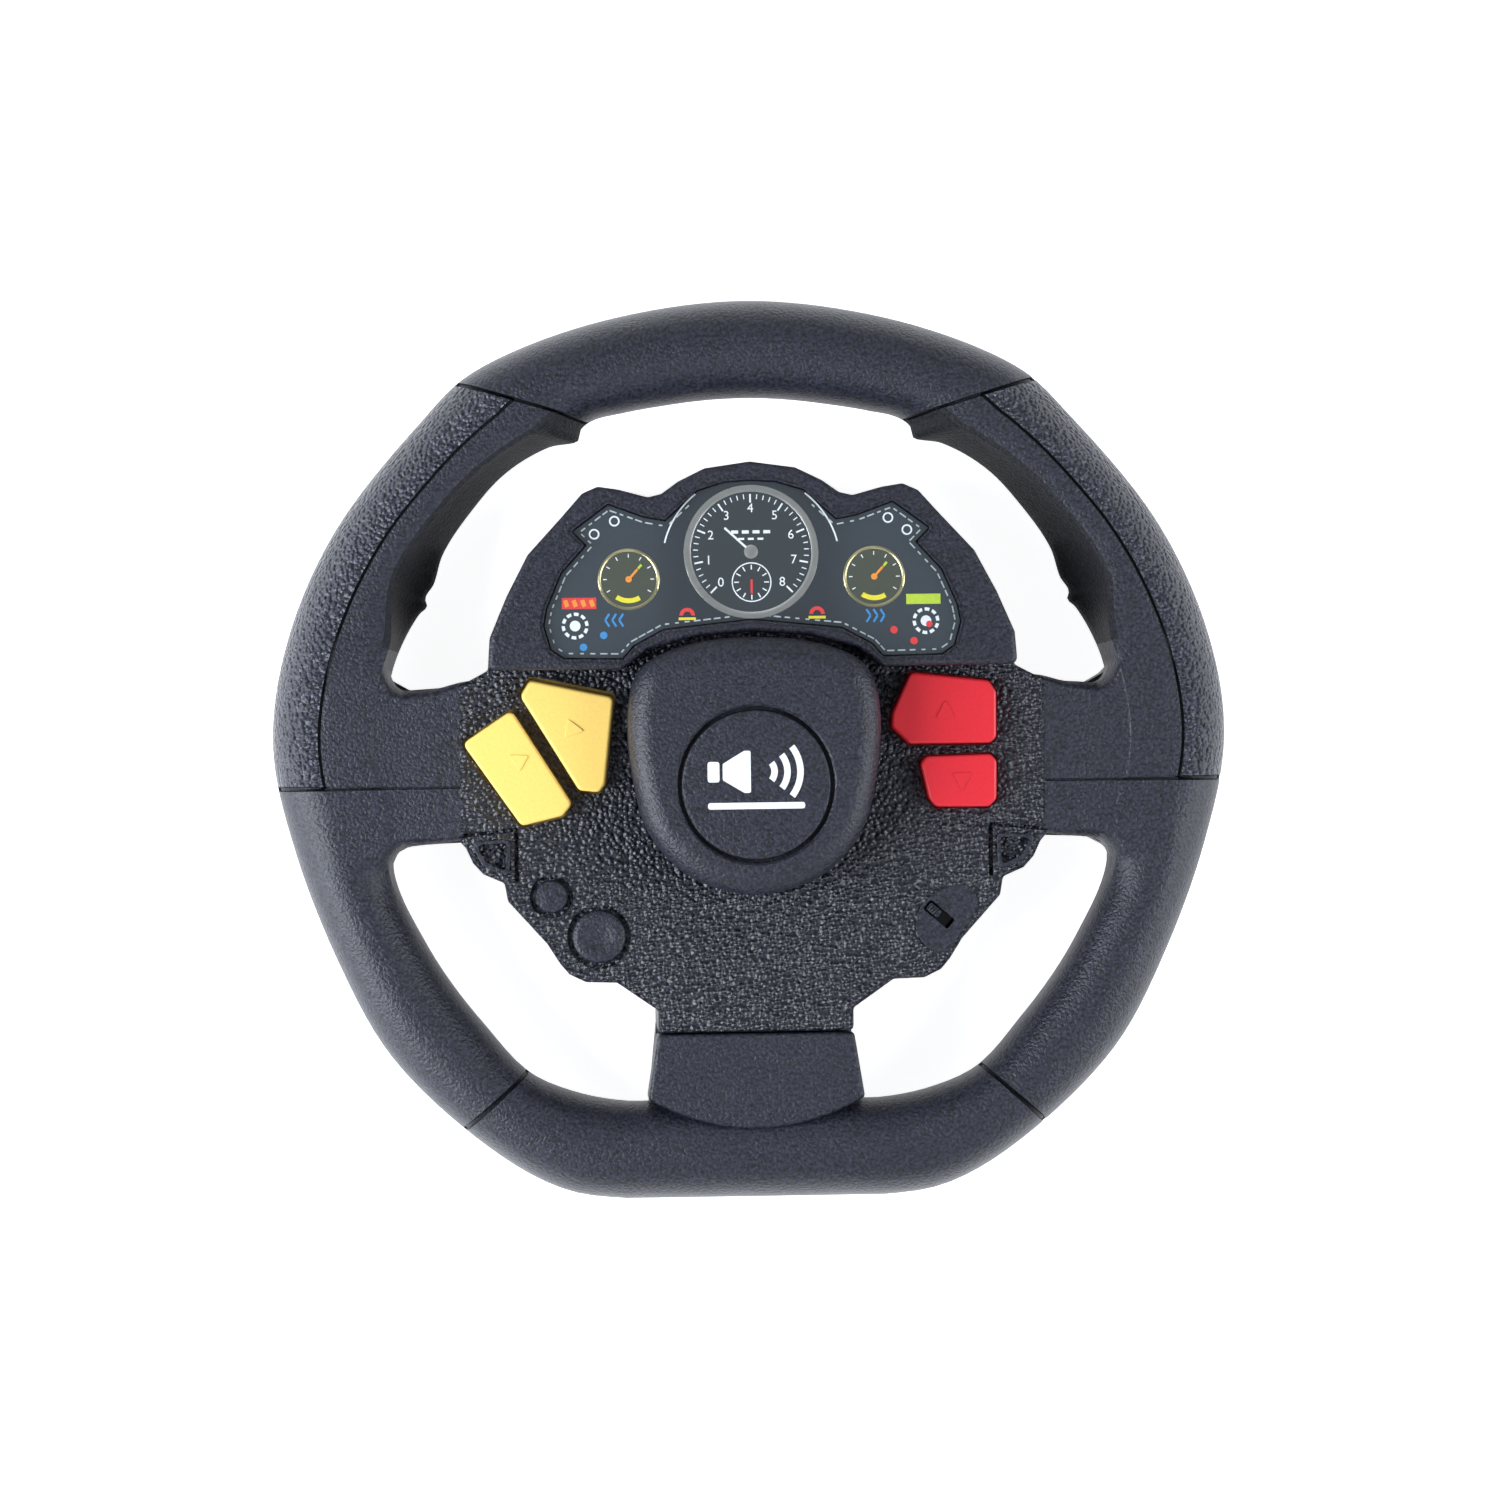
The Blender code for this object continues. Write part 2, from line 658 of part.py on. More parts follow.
def make_battery_door():
    finish = black_plastic("door_black")
    bay = rectangle(0, BAY_Y, BAY_LENGTH, BAY_WIDTH)
    low, high = DOOR_RECESS, DOOR_RECESS + DOOR_THICKNESS
    door = make_object("battery_door", [prism(offset(bay, DOOR_LEDGE - GAP), low, high)], finish)
    ear = columns("door_ear", [(0, door_ear_y())], DOOR_EAR_RADIUS - GAP, low, high, 16)
    add(door, ear)
    hole = columns("door_hole", [(0, door_ear_y())], SCREW_HOLE_RADIUS, -SHELL_WALL, high + GAP)
    cut(door, hole)
    well = columns("door_well", [(0, door_ear_y())], SCREW_HEAD_RADIUS + GAP, -SHELL_WALL, high - GAP * 2)
    cut(door, well)
    return door


def door_ear_y():
    """Where the door's screw stands, on the side towards six o'clock."""
    return BAY_Y - BAY_WIDTH / 2 - DOOR_LEDGE - DOOR_EAR_RADIUS / 2


def screw_rings(x, y, seat_z, length, head):
    """Ring stack of a screw driven upwards: its head hangs below seat_z."""
    profile = [
        (SCREW_HEAD_RADIUS * 0.7, seat_z - head),
        (SCREW_HEAD_RADIUS, seat_z - head * 0.6),
        (SCREW_HEAD_RADIUS, seat_z),
        (SCREW_RADIUS, seat_z),
        (SCREW_RADIUS, seat_z + length - SCREW_RADIUS),
        (SCREW_RADIUS / 3, seat_z + length),
    ]
    return turned(x, y, profile, 12)


def make_screws():
    steel = material("screw_steel", (0.55, 0.55, 0.56), 0.3, 1.0)
    seat = SCREW_SEAT_Z - GAP
    for i, (x, y) in enumerate(screw_places(), 1):
        make_object(f"shell_screw_{i}", [screw_rings(x, y, seat, SCREW_TIP_Z - seat, SCREW_HEAD)], steel)
    seat = BOARD_Z - GAP
    for i, (x, y) in enumerate(board_screw_places(), 1):
        rings = screw_rings(x, y, seat, BOARD_SCREW_LENGTH, SCREW_HEAD * 0.7)
        make_object(f"board_screw_{i}", [rings], steel)
    seat = DOOR_RECESS + DOOR_THICKNESS - 3 * GAP
    length = CELL_Z - SHELL_WALL - GAP - seat
    rings = screw_rings(0, door_ear_y(), seat, length, SCREW_HEAD * 0.6)
    make_object("door_screw", [rings], steel)


# ---- cells and contacts ----------------------------------------------------------------------------------
def cell_rings(y, direction):
    """Ring stack of a cell that lies along X, with its raised pole towards direction."""
    radius = CELL_DIAMETER / 2
    half = CELL_LENGTH / 2
    shoulder = half - POLE_HEIGHT
    profile = [
        (radius * 0.55, -half),
        (radius - CELL_EDGE, -half + CELL_EDGE / 2),
        (radius, -half + 2 * CELL_EDGE),
        (radius, shoulder - 2 * CELL_EDGE),
        (radius - CELL_EDGE, shoulder),
        (POLE_RADIUS, shoulder),
        (POLE_RADIUS, half - CELL_EDGE / 2),
        (POLE_RADIUS - CELL_EDGE, half),
    ]
    turns = [2 * math.pi * i / 20 for i in range(20)]
    return [
        [(direction * x, y + r * math.cos(a), CELL_Z + r * math.sin(a)) for a in turns]
        for r, x in profile
    ]


def make_cells():
    sleeve = material("cell_sleeve", (0.05, 0.16, 0.40), 0.35)
    pitch = CELL_DIAMETER + CELL_SPACE
    for name, side in (("cell_upper", 1), ("cell_lower", -1)):
        make_object(name, [cell_rings(BAY_Y + side * pitch / 2, side)], sleeve)
    return pitch


def make_contacts(pitch):
    """Sprung and flat contacts at the cells' ends: a bridge at the left and two single ones at the right."""
    nickel = material("contact_nickel", (0.70, 0.68, 0.62), 0.25, 1.0)
    width = CELL_DIAMETER - 4 * CELL_SPACE
    low, high = CELL_Z - width / 2, CELL_Z + width / 2
    wall_x = BAY_LENGTH / 2 - GAP
    plates = {
        "contact_bridge": (-1, BAY_Y, pitch + width, (BAY_Y + pitch / 2,)),
        "contact_positive": (1, BAY_Y + pitch / 2, width, ()),
        "contact_negative": (1, BAY_Y - pitch / 2, width, (BAY_Y - pitch / 2,)),
    }
    reach = CONTACT_ROOM - CONTACT_THICKNESS - 2 * GAP
    for name, (side, y, length, springs) in plates.items():
        x = side * (wall_x - CONTACT_THICKNESS / 2)
        plate = make_object(name, [prism(rectangle(x, y, CONTACT_THICKNESS, length), low, high)], nickel)
        for spring_y in springs:
            face_x = side * (wall_x - CONTACT_THICKNESS)
            turns = [2 * math.pi * i / 12 for i in range(12)]
            rings = [
                [(at_x, spring_y + r * math.cos(a), CELL_Z + r * math.sin(a)) for a in turns]
                for r, at_x in (
                    (SPRING_FOOT_RADIUS, face_x + side * CONTACT_THICKNESS / 2),
                    (SPRING_FOOT_RADIUS, face_x),
                    (SPRING_TIP_RADIUS, face_x - side * reach),
                )
            ]
            add(plate, make_object(name + "_spring", [rings], nickel))


# ---- hub and horn --------------------------------------------------------------------------------------------
def make_hub_cover():
    finish = black_plastic("hub_black")
    low, high = FACE_Z + GAP, FACE_Z + HUB_HEIGHT
    steps = 4
    rings = [at_height(HUB, low)]
    for i in range(steps + 1):
        a = math.pi / 2 * i / steps
        inset = HUB_SHOULDER * (1 - math.cos(a))
        z = high - HUB_SHOULDER * (1 - math.sin(a))
        rings.append(at_height(offset(HUB, -inset), z))
    cover = make_object("hub_cover", [rings], finish)
    inside = prism(offset(HUB, -SHELL_WALL), low - SHELL_WALL, high - SHELL_WALL, HUB_SHOULDER * 0.4)
    cut(cover, make_object("hub_hollow", [inside], finish))
    hole = HORN_RADIUS + HORN_RING
    cut(cover, columns("hub_hole", [(0, HORN_Y)], hole, FACE_UNDER_Z, high + SHELL_WALL, 40))
    return cover


def make_horn_button():
    """Disc, retaining lip and stem, turned as one piece."""
    top = FACE_Z + HUB_HEIGHT
    lip_top = top - SHELL_WALL - GAP
    lip_radius = HORN_RADIUS + HORN_RING + HORN_LIP
    profile = [
        (HORN_STEM_RADIUS, FLANGE_Z),
        (HORN_STEM_RADIUS, top - HORN_DISC - BUTTON_FLANGE),
        (lip_radius, top - HORN_DISC - BUTTON_FLANGE),
        (lip_radius, lip_top),
        (HORN_RADIUS, lip_top),
        (HORN_RADIUS, top - HORN_EDGE),
        (HORN_RADIUS - HORN_EDGE, top),
    ]
    rings = turned(0, 0, profile, 40)
    horn = make_object("horn_button", [rings], black_plastic("horn_black"))
    horn.location = (0, HORN_Y, 0)
    return horn


# ---- dash ------------------------------------------------------------------------------------------------------
DASH_LOW_Y = DASH_LOW_EDGE[0][1]


def dash_height(y):
    """Height of the dash's sloping top at y: it falls away towards twelve o'clock."""
    return FACE_Z + DASH_RISE - (y - DASH_LOW_Y) * math.tan(DASH_TILT)


def sloped(outline, sink):
    """The outline laid on the dash's slope, sunk below its top."""
    return [(x, y, dash_height(y) - sink) for x, y in outline]


def make_dash():
    finish = black_plastic("bezel_black")
    outline = mirrored(DASH_EDGE + DASH_LOW_EDGE)
    window = mirrored(WINDOW_EDGE)
    rings = [
        at_height(outline, FACE_Z + GAP),
        sloped(outline, DASH_CHAMFER),
        sloped(offset(outline, -DASH_CHAMFER * 0.8), 0.0),
    ]
    bezel = make_object("dash_bezel", [rings], finish)
    card_sink = LENS_SINK + LENS_THICKNESS + GAP
    floor = card_sink + CARD_THICKNESS + GAP
    pocket = [sloped(window, floor), sloped(window, -SHELL_WALL)]
    cut(bezel, make_object("dash_pocket", [pocket], finish))
    inner = offset(window, -GAP)
    card = [sloped(inner, card_sink + CARD_THICKNESS), sloped(inner, card_sink)]
    make_object("dash_card", [card], material("printed_card", (0.01, 0.03, 0.05), 0.5))
    lens = [sloped(inner, LENS_SINK + LENS_THICKNESS), sloped(inner, LENS_SINK)]
    make_object("dash_lens", [lens], material("clear_lens", (0.8, 0.85, 0.9), 0.05))


# ---- buttons and keypads -----------------------------------------------------------------------------------------
def make_buttons():
    yellow = material("button_yellow", (1.0, 0.72, 0.05), 0.4)
    red = material("button_red", (0.80, 0.02, 0.04), 0.4)
    for name, outline in BUTTON_OUTLINES.items():
        x, y = centre_of(outline)
        local = [(px - x, py - y) for px, py in outline]
        flange = offset(local, BUTTON_LIP)
        flange_top = FLANGE_Z + BUTTON_FLANGE
        rings = [at_height(flange, FLANGE_Z), at_height(flange, flange_top)]
        rings += prism(local, flange_top, FACE_Z + BUTTON_HEIGHT, BUTTON_CHAMFER)
        button = make_object(name, [rings], yellow if x < 0 else red)
        button.location = (x, y, 0)


def keypad(name, sheet, domes, finish):
    """A rubber sheet with a dome under each button, drawn at the height of a pressed dome."""
    top = KEYPAD_Z + KEYPAD_SHEET
    pad = make_object(name, [prism(sheet, KEYPAD_Z, top)], finish)
    profile = [(DOME_RADIUS, KEYPAD_Z + KEYPAD_SHEET / 2), (DOME_RADIUS, top)]
    profile.append((DOME_RADIUS * 0.7, DOME_TOP_Z))
    bodies = [turned(x, y, profile, 16) for x, y in domes]
    add(pad, make_object(name + "_domes", bodies, finish))


def make_keypads():
    rubber = material("keypad_rubber", (0.35, 0.37, 0.40), 0.75)
    steer = [centre_of(BUTTON_OUTLINES[n]) for n in ("steer_left_button", "steer_right_button")]
    drive = [centre_of(BUTTON_OUTLINES[n]) for n in ("forward_button", "reverse_button")]
    for name, domes in (("steer_keypad", steer), ("drive_keypad", drive), ("horn_keypad", [(0, HORN_Y)])):
        margin = DOME_RADIUS + KEYPAD_BORDER
        xs = [x for x, _ in domes]
        ys = [y for _, y in domes]
        low, high = (min(xs) - margin, min(ys) - margin), (max(xs) + margin, max(ys) + margin)
        sheet = rectangle((low[0] + high[0]) / 2, (low[1] + high[1]) / 2, high[0] - low[0], high[1] - low[1])
        keypad(name, sheet, domes, rubber)


# ---- electronics -------------------------------------------------------------------------------------------------
def make_board():
    green = material("board_green", (0.02, 0.22, 0.08), 0.45)
    low_y, high_y = BOARD_Y
    tab_x, tab_y = BOARD_TAB
    right = [
        (tab_x, tab_y),
        (tab_x, high_y),
        (BOARD_HALF_LENGTH, high_y),
        (BOARD_HALF_LENGTH, low_y),
    ]
    outline = right + [(-x, y) for x, y in reversed(right)]
    board = make_object("main_board", [prism(outline, BOARD_Z, BOARD_TOP_Z)], green)
    hole_low, hole_high = BOARD_Z - GAP, BOARD_TOP_Z + GAP
    cut(board, columns("board_holes", board_screw_places(), SCREW_HOLE_RADIUS, hole_low, hole_high))
    for name, (x, y, length, width, height, colour, roughness, metallic) in CHIPS.items():
        low = BOARD_TOP_Z + GAP
        body = prism(rectangle(x, y, length, width), low, low + height, CHIP_EDGE)
        make_object(name, [body], material(name, colour, roughness, metallic))


def make_antenna():
    """A lead from the board's tab that fans out behind the dash."""
    route = bpy.data.curves.new("antenna_wire", "CURVE")
    route.dimensions = "3D"
    route.bevel_depth = WIRE_RADIUS
    route.bevel_resolution = 2
    route.use_fill_caps = True
    spline = route.splines.new("POLY")
    height = BOARD_TOP_Z + GAP + 2 * WIRE_RADIUS
    points = [(*WIRE_FOOT, height)]
    start, end = WIRE_ARC_ANGLES
    for i in range(WIRE_ARC_STEPS + 1):
        turn = math.radians(start + (end - start) * i / WIRE_ARC_STEPS)
        x = WIRE_ARC_CENTRE[0] + WIRE_ARC_REACH[0] * math.cos(turn)
        y = WIRE_ARC_CENTRE[1] + WIRE_ARC_REACH[1] * math.sin(turn)
        points.append((x, y, height))
    spline.points.add(len(points) - 1)
    for knot, point in zip(spline.points, points):
        knot.co = (*point, 1.0)
    wire = bpy.data.objects.new("antenna_wire", route)
    route.materials.append(material("wire_sleeve", (0.03, 0.03, 0.03), 0.5))
    bpy.context.scene.collection.objects.link(wire)


def slot_outline(length, width, shift):
    """A rectangle along the switch's slot, moved along it by shift from the slot's middle."""
    x, y = SWITCH_PLACE
    cosine, sine = math.cos(SWITCH_ANGLE), math.sin(SWITCH_ANGLE)
    return [
        (x + cosine * (u + shift) - sine * v, y + sine * (u + shift) + cosine * v)
        for u, v in rectangle(0, 0, length, width)
    ]


def make_power_switch():
    length, width, height = SWITCH_BODY
    steel = material("switch_case", (0.60, 0.60, 0.58), 0.3, 1.0)
    black = black_plastic("lever_black")
    foot_top = FACE_UNDER_Z - GAP
    foot_low = foot_top - BUTTON_FLANGE / 2
    body_top = foot_low - GAP
    body = slot_outline(length, width, -GAP * 3)
    make_object("power_switch", [prism(body, body_top - height, body_top)], steel)
    shift = -SWITCH_TRAVEL / 2
    foot = slot_outline(LEVER_LENGTH, SLOT_WIDTH + 2 * LEVER_SKID, shift)
    knob = slot_outline(LEVER_LENGTH, LEVER_WIDTH, shift)
    top = FACE_Z + PAD_HEIGHT + LEVER_RISE
    rings = [at_height(foot, foot_low), at_height(foot, foot_top), at_height(knob, foot_top)]
    rings += [at_height(knob, top - GAP), at_height(offset(knob, -GAP), top)]
    place = centre_of(foot)
    lever_rings = [[(x - place[0], y - place[1], z) for x, y, z in ring] for ring in rings]
    lever = make_object("power_switch_lever", [lever_rings], black)
    lever.location = (*place, 0)


# ---- the whole transmitter -----------------------------------------------------------------------------------------
clear_scene()
make_front_shell()
make_rear_shell()
make_battery_door()
make_screws()
make_contacts(make_cells())
make_hub_cover()
make_horn_button()
make_dash()
make_buttons()
make_keypads()
make_board()
make_antenna()
make_power_switch()
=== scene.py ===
import math

import bmesh
import bpy
from mathutils import Matrix, Vector


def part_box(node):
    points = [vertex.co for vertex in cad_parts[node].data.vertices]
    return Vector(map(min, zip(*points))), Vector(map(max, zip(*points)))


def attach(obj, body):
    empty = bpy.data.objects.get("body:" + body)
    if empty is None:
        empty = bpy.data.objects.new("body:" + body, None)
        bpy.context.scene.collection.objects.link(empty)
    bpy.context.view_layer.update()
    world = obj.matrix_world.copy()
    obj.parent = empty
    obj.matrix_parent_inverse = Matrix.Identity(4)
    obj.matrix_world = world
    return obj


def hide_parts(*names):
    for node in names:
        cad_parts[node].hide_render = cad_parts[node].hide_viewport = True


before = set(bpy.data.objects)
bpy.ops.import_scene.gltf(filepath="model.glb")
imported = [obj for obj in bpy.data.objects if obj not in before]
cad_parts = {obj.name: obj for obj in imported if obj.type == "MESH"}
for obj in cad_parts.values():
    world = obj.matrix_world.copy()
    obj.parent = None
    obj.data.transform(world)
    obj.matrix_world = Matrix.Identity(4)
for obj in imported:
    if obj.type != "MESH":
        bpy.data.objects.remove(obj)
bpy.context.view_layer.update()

# ---- Studio --------------------------------------------------------------------------------------
# The transmitter lies face up on a pale sheet. Soft boxes stand at its left, its right and beyond
# twelve o'clock, and the camera looks down from nearly straight above.
VIEW_DISTANCE = 1.20
VIEW_WIDTH = 0.2833  # seen at the height where the shells meet
VIEW_TARGET = (0.0, 0.0004, 0.016)
VIEW_LEAN = math.radians(2.5)
VIEW_ROLL = math.radians(-0.75)

lens = bpy.data.cameras.new("camera")
lens.lens = lens.sensor_width * VIEW_DISTANCE / VIEW_WIDTH
lens.clip_end = 10
camera = bpy.data.objects.new("camera", lens)
away = Vector((-math.sin(VIEW_LEAN), 0, math.cos(VIEW_LEAN)))
camera.location = Vector(VIEW_TARGET) + away * VIEW_DISTANCE
camera.rotation_euler = (0, -VIEW_LEAN, VIEW_ROLL)
bpy.context.scene.collection.objects.link(camera)
bpy.context.scene.camera = camera
bpy.context.scene.view_settings.view_transform = "Standard"

sky = bpy.data.worlds.new("studio")
sky.use_nodes = True
sky.node_tree.nodes["Background"].inputs["Color"].default_value = (0.93, 0.96, 1.0, 1)
sky.node_tree.nodes["Background"].inputs["Strength"].default_value = 0.33
bpy.context.scene.world = sky

for name, place, size, watts in (
    ("left_box", (-0.55, -0.12, 0.36), 0.50, 7.4),
    ("right_box", (0.60, -0.05, 0.36), 0.50, 3.9),
    ("top_box", (-0.15, 0.80, 0.55), 0.70, 0.9),
    ("near_box", (0.0, -0.90, 0.60), 0.60, 1.2),
):
    lamp = bpy.data.lights.new(name, "AREA")
    lamp.shape = "DISK"
    lamp.size = size
    lamp.energy = watts
    lamp.color = (0.88, 0.94, 1.0)
    holder = bpy.data.objects.new(name, lamp)
    holder.location = place
    holder.rotation_euler = (-Vector(place)).to_track_quat("-Z", "Y").to_euler()
    bpy.context.scene.collection.objects.link(holder)

bm = bmesh.new()
bmesh.ops.create_grid(bm, x_segments=1, y_segments=1, size=4)
bmesh.ops.translate(bm, verts=bm.verts, vec=(0, 0, -0.0002))
sheet_mesh = bpy.data.meshes.new("table")
bm.to_mesh(sheet_mesh)
bm.free()
table = bpy.data.objects.new("table", sheet_mesh)
bpy.context.scene.collection.objects.link(table)
paper = bpy.data.materials.new("pale_paper")
paper.use_nodes = True
paper.node_tree.nodes["Principled BSDF"].inputs["Base Color"].default_value = (0.90, 0.90, 0.90, 1)
paper.node_tree.nodes["Principled BSDF"].inputs["Roughness"].default_value = 0.9
paper.node_tree.nodes["Principled BSDF"].inputs["Specular IOR Level"].default_value = 0.2
paper.node_tree.nodes["Principled BSDF"].inputs["Emission Color"].default_value = (1, 1, 1, 1)
paper.node_tree.nodes["Principled BSDF"].inputs["Emission Strength"].default_value = 0.85
sheet_mesh.materials.append(paper)

# ---- Rim, front half -----------------------------------------------------------------------------
# Front of the steering wheel: one black moulding, smooth at the top and the bottom, with a pebbled
# outer band, a bevel and a steep inner flank on each grip. Grooves mark where the real rim is stitched.
# The seams, the grip's groove and the upper inner flanks are coloured near-black as painted shade.
RIM_HALF_WIDTH = 0.0899
RIM_HALF_HEIGHT = 0.0845
PARTING_Z = 0.0160
RIM_TOP_Z = 0.0272
SHELL_WALL = 0.0018
RIM_SHAPE = (
    (0.0, 1.0), (0.30, 0.958), (0.555, 0.857), (0.69, 0.728), (0.859, 0.505), (0.963, 0.265),
    (1.0, 0.02), (0.953, -0.227), (0.86, -0.485), (0.756, -0.682), (0.592, -0.854),
    (0.427, -0.967), (0.27, -1.0), (0.0, -1.0),
)
# Clock angle in degrees and radius in millimetres of the rim's inner edge.
INNER_EDGE = (
    (0, 66.2), (12, 66.6), (20, 67.7), (24.5, 68.6), (27.2, 68.1), (28.4, 66.5), (29.6, 66.7),
    (33, 68.3), (41, 69.4), (49, 69.0), (57, 68.5), (61.7, 67.2), (64.4, 67.5), (65.6, 66.5),
    (67.2, 67.3), (73, 68.5), (78, 69.0), (90, 68.6), (102, 68.8), (109, 71.1), (120, 71.2),
    (135, 72.1), (145, 73.8), (152, 72.7), (160, 70.4), (168, 67.5), (180, 66.6),
)
# Clock angles of the seams, and how far each one's inner end lags behind its outer end, in degrees.
UPPER_SEAM, SIDE_SEAM, LOWER_SEAM = 38.3, 94.2, 142.3
SEAM_SKEW = (
    (0, 0), (20, -5.0), (UPPER_SEAM, -12.4), (56, -4.0), (72, 0), (SIDE_SEAM, 1.3), (120, 1.0),
    (LOWER_SEAM, 2.3), (165, 0), (180, 0),
)
SEAM_HALF = 0.20  # degrees
SEAM_DEPTH = 0.0010
GROOVE_AT = 0.0090  # from the outer edge
GROOVE_HALF = 0.0003
GRIP_WIDTH = 0.0188
# By clock angle: how far in the flank starts, where it has its finger pocket, and where the bevel lies flat.
FLANK_AT = ((0, 0.0160), (42, 0.0158), (52, 0.0142), (63, 0.0142), (74, GRIP_WIDTH), (180, GRIP_WIDTH))
POCKET = ((0, 0), (59.5, 0), (60.5, 1), (70, 1), (76, 0), (180, 0))
FLAT_BEVEL = ((0, 0), (73, 0), (80, 1), (180, 1))
ROUNDNESS = 2.3
GRIP_ROUNDNESS = 2.0
ROUND_POINTS = 27


def spline(knots, steps):
    """A smooth closed curve through the knots, with the given steps from one to the next."""
    made = []
    count = len(knots)
    for i in range(count):
        a, b, c, d = (Vector(knots[(i + k) % count]) for k in (-1, 0, 1, 2))
        for n in range(steps):
            t = n / steps
            bend = (2 * a - 5 * b + 4 * c - d) * t * t
            made.append((2 * b + (c - a) * t + bend + (3 * b - a - 3 * c + d) * t ** 3) / 2)
    return made


def eased(knots, at):
    """The value at a place between knots, without overshoot."""
    for (a, low), (b, high) in zip(knots, knots[1:]):
        if at <= b:
            share = max(0.0, (at - a) / (b - a))
            return low + (high - low) * share * share * (3 - 2 * share)
    return knots[-1][1]


def both_halves(right):
    return list(right) + [(-x, y) for x, y in reversed(right) if x > 0]


rim_curve = spline(both_halves([(x * RIM_HALF_WIDTH, y * RIM_HALF_HEIGHT) for x, y in RIM_SHAPE]), 12)
rim_table = sorted((math.degrees(math.atan2(p.x, p.y)), p.length) for p in rim_curve)
first, last = rim_table[0], rim_table[-1]
rim_table = [(last[0] - 360, last[1])] + rim_table + [(first[0] + 360, first[1])]


def outer_radius(clock):
    """The rim's outer radius, cut off level along the flat bottom."""
    turn = (clock + 180) % 360 - 180
    for (a, low), (b, high) in zip(rim_table, rim_table[1:]):
        if turn <= b:
            radius = low + (high - low) * (turn - a) / (b - a)
            break
    down = -math.cos(math.radians(turn))
    return RIM_HALF_HEIGHT / down if down * radius > RIM_HALF_HEIGHT else radius


def clock_point(clock, radius):
    turn = math.radians(clock)
    return Vector((radius * math.sin(turn), radius * math.cos(turn), 0))


def inner_radius(clock):
    turn = abs((clock + 180) % 360 - 180)
    knots = INNER_EDGE
    for i in range(len(knots) - 1):
        if turn <= knots[i + 1][0]:
            before, after = knots[max(i - 1, 0)], knots[min(i + 2, len(knots) - 1)]
            (a, low), (b, high) = knots[i], knots[i + 1]
            slope_in = (high - before[1]) / max(b - before[0], 1e-6) if i else 0.0
            slope_out = (after[1] - low) / max(after[0] - a, 1e-6) if after[0] > b else 0.0
            t, span = (turn - a) / (b - a), b - a
            return 0.001 * (
                (2 * t ** 3 - 3 * t * t + 1) * low + (t ** 3 - 2 * t * t + t) * span * slope_in
                + (3 * t * t - 2 * t ** 3) * high + (t ** 3 - t * t) * span * slope_out
            )
    return 0.001 * knots[-1][1]


def rim_ends(clock):
    """The outer and the inner end of the station that starts at a clock angle on the outer edge."""
    turn = (clock + 180) % 360 - 180
    inner = turn + math.copysign(1.0, turn) * eased(SEAM_SKEW, abs(turn))
    return clock_point(turn, outer_radius(turn)), clock_point(inner, inner_radius(inner))


def round_profile():
    """Share across the tube and share of its height, from the outer edge over the top."""
    made = []
    for i in range(ROUND_POINTS):
        a = math.pi * i / (ROUND_POINTS - 1)
        across = math.copysign(abs(math.cos(a)) ** (2 / ROUNDNESS), math.cos(a))
        made.append(((1 - across) / 2, abs(math.sin(a)) ** (2 / ROUNDNESS)))
    return made


def grip_profile(reach, slant, clock):
    """The grip's section: rounded outer band, groove, bevel and steep flank down to the inner edge."""
    flank_at = eased(FLANK_AT, clock)
    pocket = eased(POCKET, clock)
    flat = eased(FLAT_BEVEL, clock)
    groove = GROOVE_AT * slant / reach
    flank = min(flank_at * slant / reach, 0.97)
    cut = GROOVE_HALF * slant / reach
    made = []
    for i in range(10):
        a = math.pi / 2 * i / 9
        across = (groove - cut) * (1 - math.cos(a) ** (2 / GRIP_ROUNDNESS))
        made.append((across, math.sin(a) ** (2 / GRIP_ROUNDNESS)))
    made.append((groove - cut * 0.6, 0.93))
    made.append((groove + cut * 0.6, 0.93))
    for share, high in ((0.0, 0.990), (0.12, 0.998), (0.35, 1.0), (0.6, 0.992), (0.85, 0.965)):
        made.append((groove + cut + (flank - groove - cut) * share, high + (0.985 - high) * flat))
    for share, high in (
        (0.0, 0.945), (0.05, 0.905), (0.12, 0.82), (0.24, 0.70), (0.38, 0.575), (0.52, 0.45),
        (0.66, 0.325), (0.80, 0.20), (0.92, 0.09), (1.0, 0.0),
    ):
        sunk = pocket * math.sin(math.pi * min(1.0, share * 1.1))
        made.append((flank + (1 - flank) * share, high - sunk * 0.10))
    return made


def drawn(sections, finishes=None):
    """A sheet drawn from one row of points to the next by extruding the row's edges.

    finishes gives each strip of faces its material numbers, one for each face."""
    sheet = bmesh.new()
    row = [sheet.verts.new(p) for p in sections[0]]
    edges = [sheet.edges.new(pair) for pair in zip(row, row[1:])]
    for strip, points in enumerate(sections[1:]):
        made = bmesh.ops.extrude_edge_only(sheet, edges=edges)["geom"]
        fresh = {v for v in made if isinstance(v, bmesh.types.BMVert)}
        row = [next(e.other_vert(v) for e in v.link_edges if e.other_vert(v) in fresh) for v in row]
        for vert, point in zip(row, points):
            vert.co = point
        edges = [sheet.edges.get(pair) for pair in zip(row, row[1:])]
        for edge, number in zip(edges, finishes[strip] if finishes else ()):
            edge.link_faces[0].material_index = number
    return sheet


def finished(name, sheet, finish, body="housing"):
    """A named piece from a bmesh: faces outwards, smooth where they meet gently."""
    mesh = bpy.data.meshes.new(name)
    sheet.to_mesh(mesh)
    sheet.free()
    mesh.shade_smooth()
    mesh.set_sharp_from_angle(angle=math.radians(40))
    for one in finish if isinstance(finish, (list, tuple)) else [finish]:
        mesh.materials.append(one)
    piece = bpy.data.objects.new(name, mesh)
    bpy.context.scene.collection.objects.link(piece)
    evened(piece)
    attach(piece, body)
    return piece


